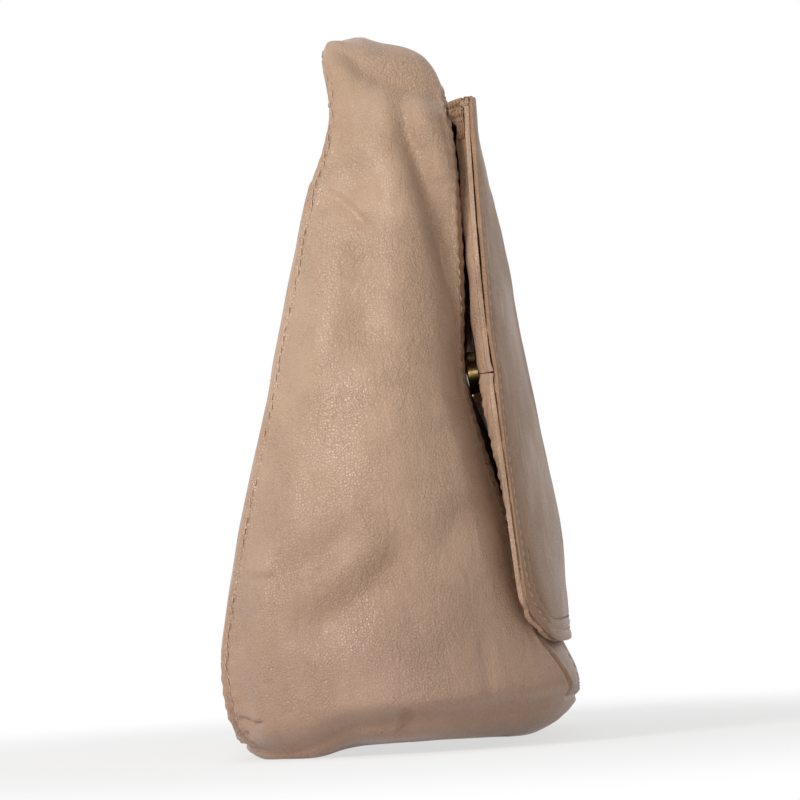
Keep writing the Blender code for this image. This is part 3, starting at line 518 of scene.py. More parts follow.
def repeatTree():
    tree = bpy.data.node_groups.new("repeatAlongPath", "GeometryNodeTree")
    face = tree.interface
    face.new_socket("Geometry", in_out="INPUT", socket_type="NodeSocketGeometry")
    for name, kind, value in (
        ("Shape", "NodeSocketObject", None), ("Pitch", "NodeSocketFloat", 0.003),
        ("Unevenness", "NodeSocketFloat", 0.1), ("Seed", "NodeSocketInt", 3),
        ("Finish", "NodeSocketMaterial", None),
    ):
        socket = face.new_socket(name, in_out="INPUT", socket_type=kind)
        if value is not None:
            socket.default_value = value
    face.new_socket("Geometry", in_out="OUTPUT", socket_type="NodeSocketGeometry")
    net = Wire(tree)
    given = tree.nodes.new("NodeGroupInput").outputs
    take = {socket.name: Wire(tree, socket) for socket in given if socket.name}
    curve = net.node("GeometryNodeMeshToCurve", {}, {"Mesh": take["Geometry"]})
    steps = net.node("GeometryNodeResampleCurve", {"mode": "LENGTH"}, {
        "Curve": curve, "Length": take["Pitch"],
    })
    up = net.node("GeometryNodeInputNamedAttribute", {"data_type": "FLOAT_VECTOR"}, {"Name": "up"})
    along = net.node("GeometryNodeInputTangent")
    turn = net.node("FunctionNodeAxesToRotation", {"primary_axis": "Z", "secondary_axis": "X"}, {
        "Primary Axis": up, "Secondary Axis": along,
    })
    shape = net.node("GeometryNodeObjectInfo", {}, {"Object": take["Shape"]}, "Geometry")
    small = net.maths("SUBTRACT", 1.0, take["Unevenness"])
    size = net.node("FunctionNodeRandomValue", {"data_type": "FLOAT"}, {
        2: small, 3: 1.0, "Seed": take["Seed"],
    }, 1)
    placed = net.node("GeometryNodeInstanceOnPoints", {}, {
        "Points": steps, "Instance": shape, "Rotation": turn, "Scale": size,
    })
    solid = net.node("GeometryNodeRealizeInstances", {}, {"Geometry": placed})
    painted = net.node("GeometryNodeSetMaterial", {}, {"Geometry": solid, "Material": take["Finish"]})
    output = tree.nodes.new("NodeGroupOutput")
    tree.links.new(painted.socket, output.inputs["Geometry"])
    return tree


repeater = repeatTree()


def repeatAlong(name, paths, shape, pitch, paint, unevenness=0.1):
    # each path is a list of (place, up) pairs
    vertices, edges, ups = [], [], []
    for path in paths:
        start = len(vertices)
        vertices += [tuple(place) for place, _ in path]
        ups += [component for _, up in path for component in up]
        edges += [(start + i, start + i + 1) for i in range(len(path) - 1)]
    mesh = bpy.data.meshes.new(name)
    mesh.from_pydata(vertices, edges, [])
    mesh.attributes.new("up", "FLOAT_VECTOR", "POINT").data.foreach_set("vector", ups)
    thing = linked(name, mesh)
    change = modify(thing, "NODES", node_group=repeater)
    wanted = {"Shape": shape, "Pitch": pitch, "Unevenness": unevenness, "Seed": 3, "Finish": paint}
    for item in repeater.interface.items_tree:
        if item.in_out == "INPUT" and item.name in wanted:
            change[item.identifier] = wanted[item.name]
    return bake(thing)


stitchLook = {
    "length": 2.3 * mm, "width": 0.52 * mm, "height": 0.52 * mm, "pitch": 3.0 * mm,
    "slant": 9.0,            # degrees off the row
}


def stitchShape():
    # one lock stitch: a bead that dives at both ends, turned a little off its row
    look = stitchLook
    work = bmesh.new()
    bmesh.ops.create_uvsphere(work, u_segments=8, v_segments=5, radius=1.0)
    slant = math.radians(look["slant"])
    for v in work.verts:
        x, y, z = v.co.z * look["length"] / 2, v.co.x * look["width"] / 2, v.co.y * look["height"] / 2
        z -= 0.30 * look["height"] * (2 * x / look["length"]) ** 2
        cos, sin = math.cos(slant), math.sin(slant)
        v.co = (x * cos - y * sin, x * sin + y * cos, z)
    bmesh.ops.recalc_face_normals(work, faces=work.faces)
    thing = fromWork("stitchShape", work)
    thing.hide_render = True
    return thing


stitch = stitchShape()


def sewRow(name, body, paths, paint=thread, pitch=None):
    row = repeatAlong(name, paths, stitch, pitch or stitchLook["pitch"], paint)
    return finishPiece(row, body, "leather", paint)


# ---- the body: one skin, welded from the CAD panels, then cut along its seams

panelNames = ("body_wrap", "back_panel", "front_panel", "front_yoke")
wrapPart, backPart, frontPart, yokePart = range(4)
bodyLook = {
    "weld": 1.1 * mm,        # the panels lie 0.6 mm apart along their seams
    "levels": 3,
    "leather": 1.3 * mm,
    "edgeRound": 0.45 * mm,
    "seamDip": 0.9 * mm,
    "seamWidth": 0.8 * mm,
    "ridge": 0.45 * mm,      # the turned edge that stands beside the seam
    "pucker": 0.22 * mm,
    "puckerPitch": 4.1 * mm,
    "puff": 1.6 * mm,        # how far the pressed cloth may swell
    "waves": ((46, 5, 0.40, 14), (15, 8, 0.12, 6)),
}
clothLook = {
    "vertex_group_mass": "sewn", "quality": 6, "mass": 0.25, "tension_stiffness": 14,
    "compression_stiffness": 14, "bending_stiffness": 0.6, "use_pressure": True,
    "uniform_pressure_force": 4.0,
}
# how far soft leather stands off the frame's surface: (height, millimetres)
backSwell = (
    (3, 1.2), (18, 1.6), (32, 1.8), (46, 1.3), (60, 1.0), (88, 0.7), (103, 0.3), (117, 0.9),
    (145, 1.2), (160, 2.1), (166, 2.2), (173, 1.5), (182, 1.2), (196, 0.4), (203, 0.6),
)
# nothing behind reaches further back than this: (height, millimetres)
backLimit = (
    (165, 15.9), (172.6, 12.7), (181, 10.1), (186.6, 9.5), (192, 10.3), (198, 11.0), (200, 11.2),
    (203.7, 10.3), (205.6, 9.3), (206.6, 7.5), (207.6, 4.5),
)
# how much the crown rises on its way forward: (forward, millimetres)
crownRise = (
    (-9, 0.0), (-6.5, 0.8), (-3.5, 1.8), (-1.5, 2.1), (1.5, 1.9), (5, 0.5), (8, 0.0), (11, 0.4),
    (18, 0.6), (20, 0.0),
)
# how far the front panel sinks: (height, millimetres)
frontSink = (
    (62, 0.0), (70, 0.6), (76, 1.3), (84, 1.9), (92, 2.4), (101, 2.8), (107, 2.6), (114, 2.0),
    (120, 1.3), (128, 0.5), (140, 0.2), (155, 0.35), (165, 0.5), (186, 0.5), (190, 0.7),
    (196, 0.4), (201, 0.0),
)
# the front edge draws in towards the middle under the flap: (height, millimetres)
frontTuck = (
    (28, 0.0), (45, 3.0), (60, 5.5), (85, 6.0), (105, 5.0), (120, 3.0), (140, 1.5), (165, 0.0),
)
# folds of the left side, each a line of (forward, up) in mm with its depth, its softness
# behind and in front of the line, and for some a roll beside it: (height, place, width)
sideFolds = (
    {"depth": 4.4, "soft": (4.6, 3.4), "roll": (1.0, 6.5, 3.6), "line": ((10.5, 194), (11.6, 188),
        (11.9, 183), (12.6, 177.3), (15.1, 171.5), (17.0, 165.7), (19.0, 159.8), (20.6, 154),
        (22.2, 148.2), (23.4, 142.4), (24.9, 136.6), (26.0, 130.9), (26.6, 120))},
    {"depth": 3.2, "soft": (8.0, 8.0), "roll": (0.8, -12.0, 6.0), "line": ((-6.0, 174), (-4.4, 166),
        (-3.0, 153.3), (-2.8, 137.5), (-3.2, 129), (-2.8, 120.4), (-2.2, 106))},
    {"depth": -1.6, "soft": (7.0, 7.0), "line": ((-13, 137), (-17, 115), (-22, 93), (-26, 78),
        (-30, 60), (-34, 42), (-36, 22))},
    {"depth": -2.0, "soft": (3.6, 5.0), "line": ((-35, 66), (-36, 48), (-37.5, 30), (-37.5, 14),
        (-37, -6))},
    {"depth": -0.5, "soft": (4.5, 4.5), "line": ((-7, 206), (-5, 202), (-1, 198), (4, 194),
        (10, 189))},
    {"depth": 0.5, "soft": (1.8, 2.4), "line": ((26.5, 36), (26, 22), (26.5, 9))},
    {"depth": 0.8, "soft": (4.0, 5.0), "line": ((3.2, 197), (3.0, 192), (2.5, 183), (3.0, 176))},
    {"depth": 0.9, "soft": (2.4, 1.2), "roll": (0.6, 2.8, 1.8), "line": ((-14.5, 163.0),
        (-12.5, 161.3), (-8.3, 158.2), (-3.5, 153.5), (0.6, 149.7))},
    {"depth": 0.9, "soft": (1.0, 0.8), "roll": (0.35, 2.2, 1.5), "line": ((-40.6, 52.9),
        (-39.2, 52.7), (-34.7, 51.9), (-31, 52.2))},
    {"depth": 2.0, "soft": (5.0, 6.0), "line": ((-36, 51.5), (-25, 54.5), (-16.4, 58), (-6, 66))},
    {"depth": 3.2, "soft": (6.5, 5.5), "roll": (0.5, 11.0, 5.0), "line": ((-29, 32), (-20.3, 38.1),
        (-11.5, 43.2), (-5.1, 47.1), (3.3, 55.1), (9, 64))},
    {"depth": 1.1, "soft": (6.0, 6.0), "line": ((0.6, 30), (5.3, 40.8), (14.6, 54.4), (22.3, 65.3),
        (26, 76))},
    {"depth": 0.35, "soft": (1.2, 1.4), "line": ((-29.6, 22), (-30, 17.5), (-30.3, 12))},
    {"depth": 0.30, "soft": (1.2, 1.4), "line": ((-16.5, 25.5), (-17.3, 20), (-16.6, 15))},
    {"depth": 1.6, "soft": (1.4, 1.8), "line": ((3.4, 13.5), (2.8, 12.2), (1.1, 5.0))},
    {"depth": 0.35, "soft": (0.8, 1.0), "roll": (0.2, 2, 1.2), "line": ((18.0, 103), (20.1, 100.7),
        (24.1, 96.3))},
    {"depth": 0.7, "soft": (7.0, 8.0), "line": ((-30.5, 112), (-22, 96), (-17, 78), (-16, 62))},
)
# short darts where the base gathers into the back seam
darts = (
    {"depth": 1.4, "soft": (0.7, 0.6), "roll": (0.5, 2.2, 1.6), "line": ((-45.5, 13.2),
        (-43.7, 12.4), (-40.4, 11.6), (-36.4, 12.1))},
    {"depth": 1.0, "soft": (0.7, 0.7), "roll": (0.3, 2.0, 1.4), "line": ((-42.6, 9.4), (-42.9, 8.0),
        (-43.2, 6.4), (-43.0, 4.0))},
)
# the back seam runs further back and higher where it goes over the crown
seamBack = ((176, 0.0), (183, 0.8), (190, 1.3), (195, 2.2), (203, 2.4))
crownLook = {
    "seamRise": 6.0 * mm, "corner": (0.0, 0.3 * mm, 1.3 * mm), "place": (7.0 * mm, 203 * mm),
    "reach": 5 * mm, "flatAbove": 0.2047, "flatWithin": math.radians(12),
}
baseLift = {"rise": 3.2 * mm, "rightShare": 0.6, "along": (0.003, 0.085), "forward": (-0.030, -0.012)}
frontLift = {"rise": 2.2 * mm, "forward": (0.036, 0.053), "top": 0.020}
cornerDrop = {"fall": 3.0 * mm, "along": (0.066, 0.084), "forward": (0.046, 0.040, 0.024, 0.012)}
cornerPush = {"forward": 2.6 * mm, "height": 13 * mm, "reach": 9 * mm}
snapLook = {
    "height": 108 * mm, "pressed": 2.6 * mm, "rise": 1.6 * mm, "normal": (0.0, -0.9896, 0.1439),
    "middle": (0.0, -28.8 * mm, 108 * mm), "radiusShare": 0.96, "dish": 0.25 * mm,
}


def foldHeight(forward, up, fold):
    # height of one fold at each place, from its distance to the fold's line
    line = np.array(fold["line"], float)
    spans = np.linalg.norm(np.diff(line, axis=0), axis=1)
    total = spans.sum()
    best = np.full(len(forward), 1e9)
    side = np.zeros(len(forward))
    along = np.zeros(len(forward))
    walked = 0.0
    for first, second, span in zip(line, line[1:], spans):
        way = (second - first) / span
        da, db = forward - first[0], up - first[1]
        t = np.clip(da * way[0] + db * way[1], 0, span)
        ea, eb = da - t * way[0], db - t * way[1]
        distance = np.hypot(ea, eb)
        nearer = distance < best
        best = np.where(nearer, distance, best)
        side = np.where(nearer, np.sign(way[0] * eb - way[1] * ea), side)
        along = np.where(nearer, walked + t, along)
        walked += span
    fade = smoothStep(0, 0.22 * total, along) * smoothStep(0, 0.22 * total, total - along)
    behind, ahead = fold["soft"]
    roll, rollPlace, rollWidth = fold.get("roll", (0, 5, 5))
    groove = np.where(side < 0, bell(best, behind), bell(best, ahead)) * -fold["depth"]
    signed = best * np.where(side < 0, -1, 1)
    return (groove + roll * bell(signed - rollPlace, rollWidth)) * fade


def sideFoldMoves(co, way):
    # how far each place of the skin moves out, from the folds of both sides
    forward, up = -co[:, 1] / mm, co[:, 2] / mm
    total = np.zeros(len(co))
    facing = smoothStep(0.15, 0.6, np.abs(way[:, 0]))
    for fold in sideFolds + darts:
        left = foldHeight(forward, up, fold)
        right = foldHeight(forward - 1.5, up - 4.0, fold) * 0.8
        total += np.where(co[:, 0] < 0, left, right) * (facing if fold in sideFolds else 1.0)
    return total


def inOrder(items):
    # each item once, in the order given, so that every run makes the same mesh
    return list(dict.fromkeys(items))


def outerFaces(work):
    # flood over gentle edges, so the rims part the outer side from the inner one
    limit = math.radians(55)
    spineSpan = ((-0.06, 0.06), (0.04, 0.17))
    best, bestScore = [], 0.0
    seen = set()
    for first in work.faces:
        if first in seen:
            continue
        seen.add(first)
        group, waiting = [], [first]
        while waiting:
            face = waiting.pop()
            group.append(face)
            for other in [o for e in face.edges for o in e.link_faces]:
                if other not in seen and face.normal.angle(other.normal) < limit:
                    seen.add(other)
                    waiting.append(other)
        score = 0.0
        for face in group:
            middle = face.calc_center_median()
            spine = Vector((np.clip(middle.x, *spineSpan[0]), -0.004, np.clip(middle.z, *spineSpan[1])))
            score += face.normal.dot((middle - spine).normalized()) * face.calc_area()
        if score > bestScore:
            best, bestScore = group, score
    return best


def evenCrown(skin):
    # the flat top comes as long thin fans: make it whole and cut it into short lengths
    def top():
        return [f for f in skin.faces if min(v.co.z for v in f.verts) > crownLook["flatAbove"]]

    flat = set(top())
    inside = [e for e in skin.edges if e.link_faces and set(e.link_faces) <= flat]
    bmesh.ops.dissolve_limit(skin, angle_limit=crownLook["flatWithin"], edges=inside)
    for x in range(-56, 57, 14):
        flat = top()
        parts = inOrder([*flat, *(e for f in flat for e in f.edges), *(v for f in flat for v in f.verts)])
        bmesh.ops.bisect_plane(skin, geom=parts, plane_co=(x * mm, 0, 0), plane_no=(1, 0, 0))


def bodySkin():
    skin = bmesh.new()
    for index, name in enumerate(panelNames):
        work = mergedCopy(name)
        twin = {}
        for face in outerFaces(work):
            for v in face.verts:
                if v not in twin:
                    twin[v] = skin.verts.new(v.co)
            skin.faces.new([twin[v] for v in face.verts]).material_index = index
        work.free()
    bmesh.ops.remove_doubles(skin, verts=skin.verts, dist=bodyLook["weld"])
    gaps = [e for e in skin.edges if e.is_boundary and e.verts[0].co.z < 0.05]
    bmesh.ops.holes_fill(skin, edges=gaps, sides=6)
    evenCrown(skin)
    toQuads(skin)
    thing = fromWork("bodySkin", skin)
    for _ in panelNames:
        thing.data.materials.append(leather)
    return thing


def cutFiner(thing, chosen):
    # halve the faces whose middle is chosen
    work = workOn(thing.data)
    edges = inOrder(e for f in work.faces if chosen(f.calc_center_median()) for e in f.edges)
    bmesh.ops.subdivide_edges(work, edges=edges, cuts=1, use_grid_fill=True, smooth=0.4)
    work.to_mesh(thing.data)
    work.free()
    thing.data.shade_smooth()


def seamLoop(mesh, first, second):
    # the points in order along the seam between two panels
    owner = {}
    for polygon in mesh.polygons:
        for key in polygon.edge_keys:
            owner.setdefault(key, set()).add(polygon.material_index)
    near = {}
    for (a, b), parts in owner.items():
        if parts >= {first, second}:
            near.setdefault(a, []).append(b)
            near.setdefault(b, []).append(a)
    ends = [v for v, others in near.items() if len(others) == 1]
    here = ends[0] if ends else min(near, key=lambda v: mesh.vertices[v].co.z)
    order, seen = [here], {here}
    while True:
        ahead = [v for v in near[order[-1]] if v not in seen]
        if not ahead:
            break
        order.append(ahead[0])
        seen.add(ahead[0])
    return order


def seamField(co, loops):
    # distance to the nearest seam, which seam it is, and how far along it
    rows = []
    for number, loop in enumerate(loops):
        line = co[loop]
        walked = np.concatenate(([0], np.cumsum(np.linalg.norm(np.diff(line, axis=0), axis=1))))
        for i in range(len(line) - 1):
            for share in (0.0, 0.33, 0.67):
                place = line[i] + (line[i + 1] - line[i]) * share
                rows.append((place, number, walked[i] + (walked[i + 1] - walked[i]) * share))
    tree = KDTree(len(rows))
    for index, (place, _, _) in enumerate(rows):
        tree.insert(Vector(place), index)
    tree.balance()
    found = [tree.find(place) for place in co]
    nearest = [rows[index] for _, index, _ in found]
    distance = np.array([away for _, _, away in found])
    return distance, np.array([row[1] for row in nearest]), np.array([row[2] for row in nearest])


def borderDistance(thing, below=9.0):
    # distance to the sheet's border, without the part of it above a height
    mesh = thing.data
    count = {}
    for polygon in mesh.polygons:
        for key in polygon.edge_keys:
            count[key] = count.get(key, 0) + 1
    co = points(thing)
    rim = [key for key, times in count.items() if times == 1 and co[key[0]][2] < below]
    tree = KDTree(len(rim) * 4)
    for number, (a, b) in enumerate(rim):
        for step in range(4):
            tree.insert(Vector(co[a]).lerp(Vector(co[b]), step / 4), number * 4 + step)
    tree.balance()
    return np.array([tree.find(place)[2] for place in co])


def partOfPoints(mesh, count):
    # the panel that each point belongs to, the wrap where it is shared
    part = np.full(count, 9)
    for polygon in mesh.polygons:
        for v in polygon.vertices:
            part[v] = min(part[v], polygon.material_index)
    return part


def pressOut(thing, pinned, limit):
    # a cloth run: air inside swells the leather between its sewn lines
    start = points(thing)
    group = thing.vertex_groups.new(name="sewn")
    for index, weight in enumerate(pinned):
        if weight > 0.01:
            group.add([index], float(weight), "REPLACE")
    change = modify(thing, "CLOTH")
    for key, value in clothLook.items():
        setattr(change.settings, key, value)
    change.settings.effector_weights.gravity = 0
    lastFrame = 20
    change.point_cache.frame_start, change.point_cache.frame_end = 1, lastFrame
    for number in range(1, lastFrame + 1):
        bpy.context.scene.frame_set(number)
    moved = meshPoints(evaluatedMesh(thing))
    thing.modifiers.clear()
    thing.vertex_groups.clear()
    bpy.context.scene.frame_set(1)
    step = moved - start
    size = np.linalg.norm(step, axis=1, keepdims=True)
    setPoints(thing, start + step * limit / (limit + size))   # no point moves further than limit
    print("cloth run pressed the leather out, kept under", round(limit / mm, 1), "mm")


def heightTable(rows, up):
    rows = np.array(rows, float)
    return np.interp(up / mm, rows[:, 0], rows[:, 1], left=rows[0, 1], right=rows[-1, 1]) * mm


def frontSinkAt(co):
    # the front panel sinks between the snap and the sides, and all along at the snap's
    # height, so that the snap shows from the side
    x, _, z = co.T
    fromSnap = z - snapLook["height"]
    sides = np.maximum(smoothStep(0.022, 0.060, np.abs(x)), bell(fromSnap, 13 * mm))
    pressed = bell(np.hypot(x, fromSnap), 16 * mm)
    return np.maximum(heightTable(frontSink, z) * sides, snapLook["pressed"] * pressed)


def waves(co, rows, away):
    # slow unevenness from rows of (size, seed, depth, how far from a seam it is whole), in mm
    return sum(
        softNoise(co, size * mm, seed) * depth * mm * smoothStep(0, reach * mm, away)
        for size, seed, depth, reach in rows
    )


def keepAbove(thing, height):
    setPoints(thing, np.maximum(points(thing), (-9, -9, height)))


def shapeCrown(co, nearSeam):
    _, y, z = co.T
    z += crownLook["seamRise"] * nearSeam * smoothStep(184 * mm, 197 * mm, z)
    z += heightTable(crownRise, -y) * smoothStep(182 * mm, 203 * mm, z)
    cornerY, cornerZ = crownLook["place"]
    nearCorner = bell(np.hypot(y - cornerY, z - cornerZ), crownLook["reach"])
    co += np.array(crownLook["corner"]) * nearCorner[:, None]


def shapeBase(co):
    # the base rests on its back corners and its middle
    x, y, z = co.T
    start, end = baseLift["along"]
    left = np.clip((-x - start) / (end - start), 0, 1)
    right = np.clip((x - start) / (end - start), 0, 1) * baseLift["rightShare"]
    lift = baseLift["rise"] * (left + right) * smoothStep(*baseLift["forward"], -y)
    z += lift * (1 - smoothStep(4 * mm, 24 * mm, z))
    rise = frontLift["rise"] * smoothStep(*frontLift["forward"], -y)
    z += rise * (1 - smoothStep(5 * mm, frontLift["top"], z))
    outer, inner, near, far = cornerDrop["forward"]
    window = smoothStep(outer + 4 * mm, inner, y) * smoothStep(far, near, y)
    drop = cornerDrop["fall"] * smoothStep(*cornerDrop["along"], np.abs(x)) * window
    drop *= 1 - smoothStep(2 * mm, 16 * mm, z)
    z[:] = np.maximum(z - drop, np.minimum(z, 0.05 * mm))


def underBackLimit(co):
    # ease what stands behind the limit back to it
    _, y, z = co.T
    limit = heightTable(backLimit, z)
    soft = 0.35 * mm
    room = (limit - y) / soft
    eased = limit - soft * np.log1p(np.exp(np.clip(room, -20, 20)))
    y[:] = np.where((z > 0.165) & (room < 20), eased, y)


def shapeSkin(skin):
    look = bodyLook
    co = points(skin)
    x, y, z = co.T           # columns of co, so what moves them moves co
    part = partOfPoints(skin.data, len(co))
    loops = seamLoops(skin.data)
    away, which, along = seamField(co, loops)
    back = which == 0
    # let the back edge stand out and the front sink, as soft leather does
    onBack = 0.6 + 0.4 * smoothStep(0, 3 * mm, away) - smoothStep(9 * mm, 24 * mm, away)
    share = np.where(part == backPart, onBack, 0.6 * (1 - smoothStep(0, 13 * mm, away)))
    side = smoothStep(0.030, 0.060, np.abs(x))
    y += heightTable(backSwell, z) * np.clip(share, 0, 1) * back * side
    nearFront = np.where(part == wrapPart, 1 - smoothStep(0, 18 * mm, away), 1.0) * (which > 0)
    y += frontSinkAt(co) * nearFront
    nearSeam = (1 - smoothStep(0, 9 * mm, away)) * back
    y += heightTable(seamBack, z) * nearSeam
    shapeCrown(co, nearSeam)
    shapeBase(co)
    tuck = heightTable(frontTuck, z) * side * (which > 0)
    tuck *= 1 - smoothStep(0, np.where(part == wrapPart, 15 * mm, 24 * mm), away)
    x -= np.sign(x) * tuck
    # the front corners of the base reach forward
    corner = bell(z - cornerPush["height"], cornerPush["reach"]) * smoothStep(0.062, 0.084, np.abs(x))
    y -= cornerPush["forward"] * corner * smoothStep(0.030, 0.044, -y)
    setPoints(skin, co)
    # folds, waves and the seam with its puckers move the skin along its normals
    way = normals(skin)
    move = sideFoldMoves(co, way) * mm * smoothStep(0, 5 * mm, away) + waves(co, look["waves"], away)
    low = smoothStep(30 * mm, 12 * mm, z) * back
    calm = 1 - 0.5 * smoothStep(46 * mm, 36 * mm, z) * (1 - back) - 0.7 * smoothStep(0.195, 0.202, z)
    move -= look["seamDip"] * (1 + 0.5 * low) * calm * bell(away, look["seamWidth"] * (1 + 0.5 * low))
    move += look["ridge"] * bell(away - 2.0 * mm, 0.9 * mm) * (1 + 0.5 * low) * calm
    puckers = np.sin(along * (2 * math.pi / look["puckerPitch"]) + 1.7 * np.sin(along * 90))
    strength = np.where(back, 0.5 + smoothStep(0.165, 0.185, z) + 0.6 * low, 0.8) * calm
    move += look["pucker"] * puckers * strength * bell(away - 2.2 * mm, 2.0 * mm)
    co += way * move[:, None]
    underBackLimit(co)
    z[:] = np.maximum(z, 0)
    setPoints(skin, co)
    crowded = np.maximum(smoothStep(0.1985, 0.2025, z), 0.8 * smoothStep(5.5 * mm, 3 * mm, z))
    relax(skin, crowded, 10)
    keepAbove(skin, 0)
    return loops


def seamLoops(mesh):
    return [seamLoop(mesh, wrapPart, other) for other in (backPart, frontPart, yokePart)]


def heldPlaces(thing):
    # the seams, the mouth, the standing base and the front under the flap keep their place
    co = points(thing)
    away, _, _ = seamField(co, seamLoops(thing.data))
    part = partOfPoints(thing.data, len(co))
    held = 1 - smoothStep(0.5 * mm, 7 * mm, np.minimum(away, borderDistance(thing)))
    held = np.maximum(held, 1 - smoothStep(0.5 * mm, 4 * mm, co[:, 2]))
    front = ((part == frontPart) & (co[:, 2] > 0.030)) | (part == yokePart)
    return np.maximum(held, front)


def makeSkin():
    skin = bodySkin()
    crown = smoothStep(0.2026, 0.2042, points(skin)[:, 2])
    subdivideThrough(skin, bodyLook["levels"] - 1, held=1 - crown[:, None])
    relax(skin, smoothStep(0.2000, 0.2035, points(skin)[:, 2]), 8)
    pressOut(skin, heldPlaces(skin), bodyLook["puff"])
    subdivide(skin, 1)
    cutFiner(skin, lambda middle: abs(middle.x) > 0.088 and middle.z > 0.004)
    return skin, shapeSkin(skin)


skin, seams = makeSkin()
print("body skin", len(skin.data.polygons), "faces")


def cutPanel(index, name):
    work = workOn(skin.data)
    others = [face for face in work.faces if face.material_index != index]
    bmesh.ops.delete(work, geom=others, context="FACES")
    for face in work.faces:
        face.material_index = 0
    return fromWork(name, work)


def roundEdges(thing, width, segments, angle):
    modify(thing, "BEVEL", width=width, segments=segments, limit_method="ANGLE",
           angle_limit=math.radians(angle))


def thicken(thing, thickness, roundness, segments=2):
    modify(thing, "SOLIDIFY", thickness=thickness, offset=-1.0, use_even_offset=False)
    if roundness:
        roundEdges(thing, roundness, segments, 55)
    return bake(thing)


pieceNames = ("bodyWrap", "backPanel", "frontPanel", "frontYoke")
for index, (node, name) in enumerate(zip(panelNames, pieceNames)):
    panel = thicken(cutPanel(index, name), bodyLook["leather"], bodyLook["edgeRound"])
    keepAbove(panel, 0)
    # painted shade: the front panel takes the darker copy of the leather, for the shade under the flap
    finishPiece(panel, "bag", "leather", paintedShadeLeather if index == frontPart else leather, node)


def surfaceTree(thing):
    mesh = thing.data
    corners = [v.co.copy() for v in mesh.vertices]
    return BVHTree.FromPolygons(corners, [p.vertices[:] for p in mesh.polygons])


leatherTree = surfaceTree(skin)
waddingLook = {"thickness": 0.6 * mm, "under": 0.6 * mm, "foot": 2.2 * mm}


def tuckUnder(thing, depths, sidesOnly):
    # push points, and the middles of faces, at least so deep under the leather
    for _ in range(4):
        co = points(thing)
        faces = [list(face.vertices) for face in thing.data.polygons]
        places = [([i], place) for i, place in enumerate(co)] + [(f, co[f].mean(0)) for f in faces]
        for corners, place in places:
            spot, normal, _, _ = leatherTree.find_nearest(Vector(place))
            lack = depths[corners].max() - (spot - Vector(place)).dot(normal)
            if lack > 0 and (abs(normal.x) > 0.3 or not sidesOnly):
                co[corners] -= np.array(normal) * min(lack, 4 * mm)
        setPoints(thing, co)


def makeBodyWadding():
    # a thin layer of felt that follows the inner side of the leather
    thing = subdivide(bodySkin(), 2)
    thing.name = "bodyWadding"
    for face in thing.data.polygons:
        face.material_index = 0
    depth = bodyLook["leather"] + waddingLook["under"]
    for _ in range(3):
        co = points(thing)
        for i, place in enumerate(co):
            spot, normal, _, _ = leatherTree.find_nearest(Vector(place))
            if (spot - Vector(place)).dot(normal) < depth:
                co[i] = spot - normal * depth
        setPoints(thing, co)
        keepAbove(thing, waddingLook["foot"])
    tuckUnder(thing, np.full(len(thing.data.vertices), depth), True)
    thicken(thing, waddingLook["thickness"], 0)
    finishPiece(thing, "bag", "wadding", felt, "body_wadding")


makeBodyWadding()
print("body panels and their wadding cut")


def onSurface(tree, places, lift=0.0):
    # put each place on the surface nearest to it, with the way out of it
    path = []
    for place in places:
        spot, normal, _, _ = tree.find_nearest(Vector(place))
        path.append((spot + normal * lift, normal))
    return path


def besideSeam(loop, towards, offset, lift, keep=lambda place: True):
    # stitch rows that run beside a seam, on the panel named by towards
    tree = leatherTree
    mesh = skin.data
    line = [mesh.vertices[v].co.copy() for v in loop]
    rows, row = [], []
    for i, place in enumerate(line):
        along = (line[min(i + 1, len(line) - 1)] - line[max(i - 1, 0)]).normalized()
        _, normal, _, _ = tree.find_nearest(place)
        across = normal.cross(along).normalized()
        choices = [tree.find_nearest(place + across * offset * sign) for sign in (1, -1)]
        fitting = [hit for hit in choices if mesh.polygons[hit[2]].material_index == towards]
        if fitting and keep(place):
            row.append((fitting[0][0] + fitting[0][1] * lift, fitting[0][1]))
        elif row:
            rows.append(row)
            row = []
    return [r for r in rows + [row] if len(r) > 3]


backRows = besideSeam(seams[0], backPart, 1.5 * mm, 0.20 * mm, lambda place: place.z > 0.012)
frontRows = besideSeam(seams[1], wrapPart, 1.6 * mm, 0.10 * mm, lambda place: place.z > 0.035)
frontRows += besideSeam(seams[2], wrapPart, 1.6 * mm, 0.10 * mm)
sewRow("backSeamStitches", "bag", backRows)
sewRow("frontSeamStitches", "bag", frontRows)


def pocketRow():
    # the row that closes a hidden patch low on the front, shaped like a D
    half, top, low, turn = 43 * mm, 62 * mm, 12.5 * mm, 13 * mm
    outline = [(-half, top - step * 4 * mm) for step in range(10)]
    for step in range(1, 9):
        angle = math.radians(step * 90 / 9)
        outline.append((-half + turn * (1 - math.cos(angle)), low + turn * (1 - math.sin(angle))))
    outline += [(x * mm, low) for x in range(-28, 1, 4)]
    outline += [(-x, z) for x, z in reversed(outline[:-1])]
    tree = surfaceTree(bpy.data.objects["frontPanel"])
    return onSurface(tree, [(x, -0.065, z) for x, z in outline], 0.08 * mm)


sewRow("pocketStitches", "bag", [pocketRow()])
bpy.data.objects.remove(skin)
print("body stitched")


# ---- the flap: two sheets of leather that stand up to the same top edge

flapLook = {
    "sheet": 1.3 * mm,
    "edgeRound": 0.6 * mm,
    "top": 0.1867,
    "rowInset": 3.1 * mm,
    "secondRow": 6.4 * mm,
    "liningBack": 0.1 * mm,
    "topBack": (-0.2 * mm, 2.7 * mm),
    "waves": ((42, 21, 0.35, 20), (11, 23, 0.11, 8)),
}
# how far the lining swells towards the bag near its side edges: (height, millimetres)
liningRoll = (
    (30, 0.0), (45, 0.3), (60, 0.6), (77, 1.3), (86, 2.2), (95, 2.9), (108, 3.0), (118, 3.2),
    (134, 2.8), (157, 3.0), (162, 2.6), (168, 2.7), (173, 3.2), (176, 2.9), (179, 1.9), (182, 0.6),
    (185, 0.0),
)
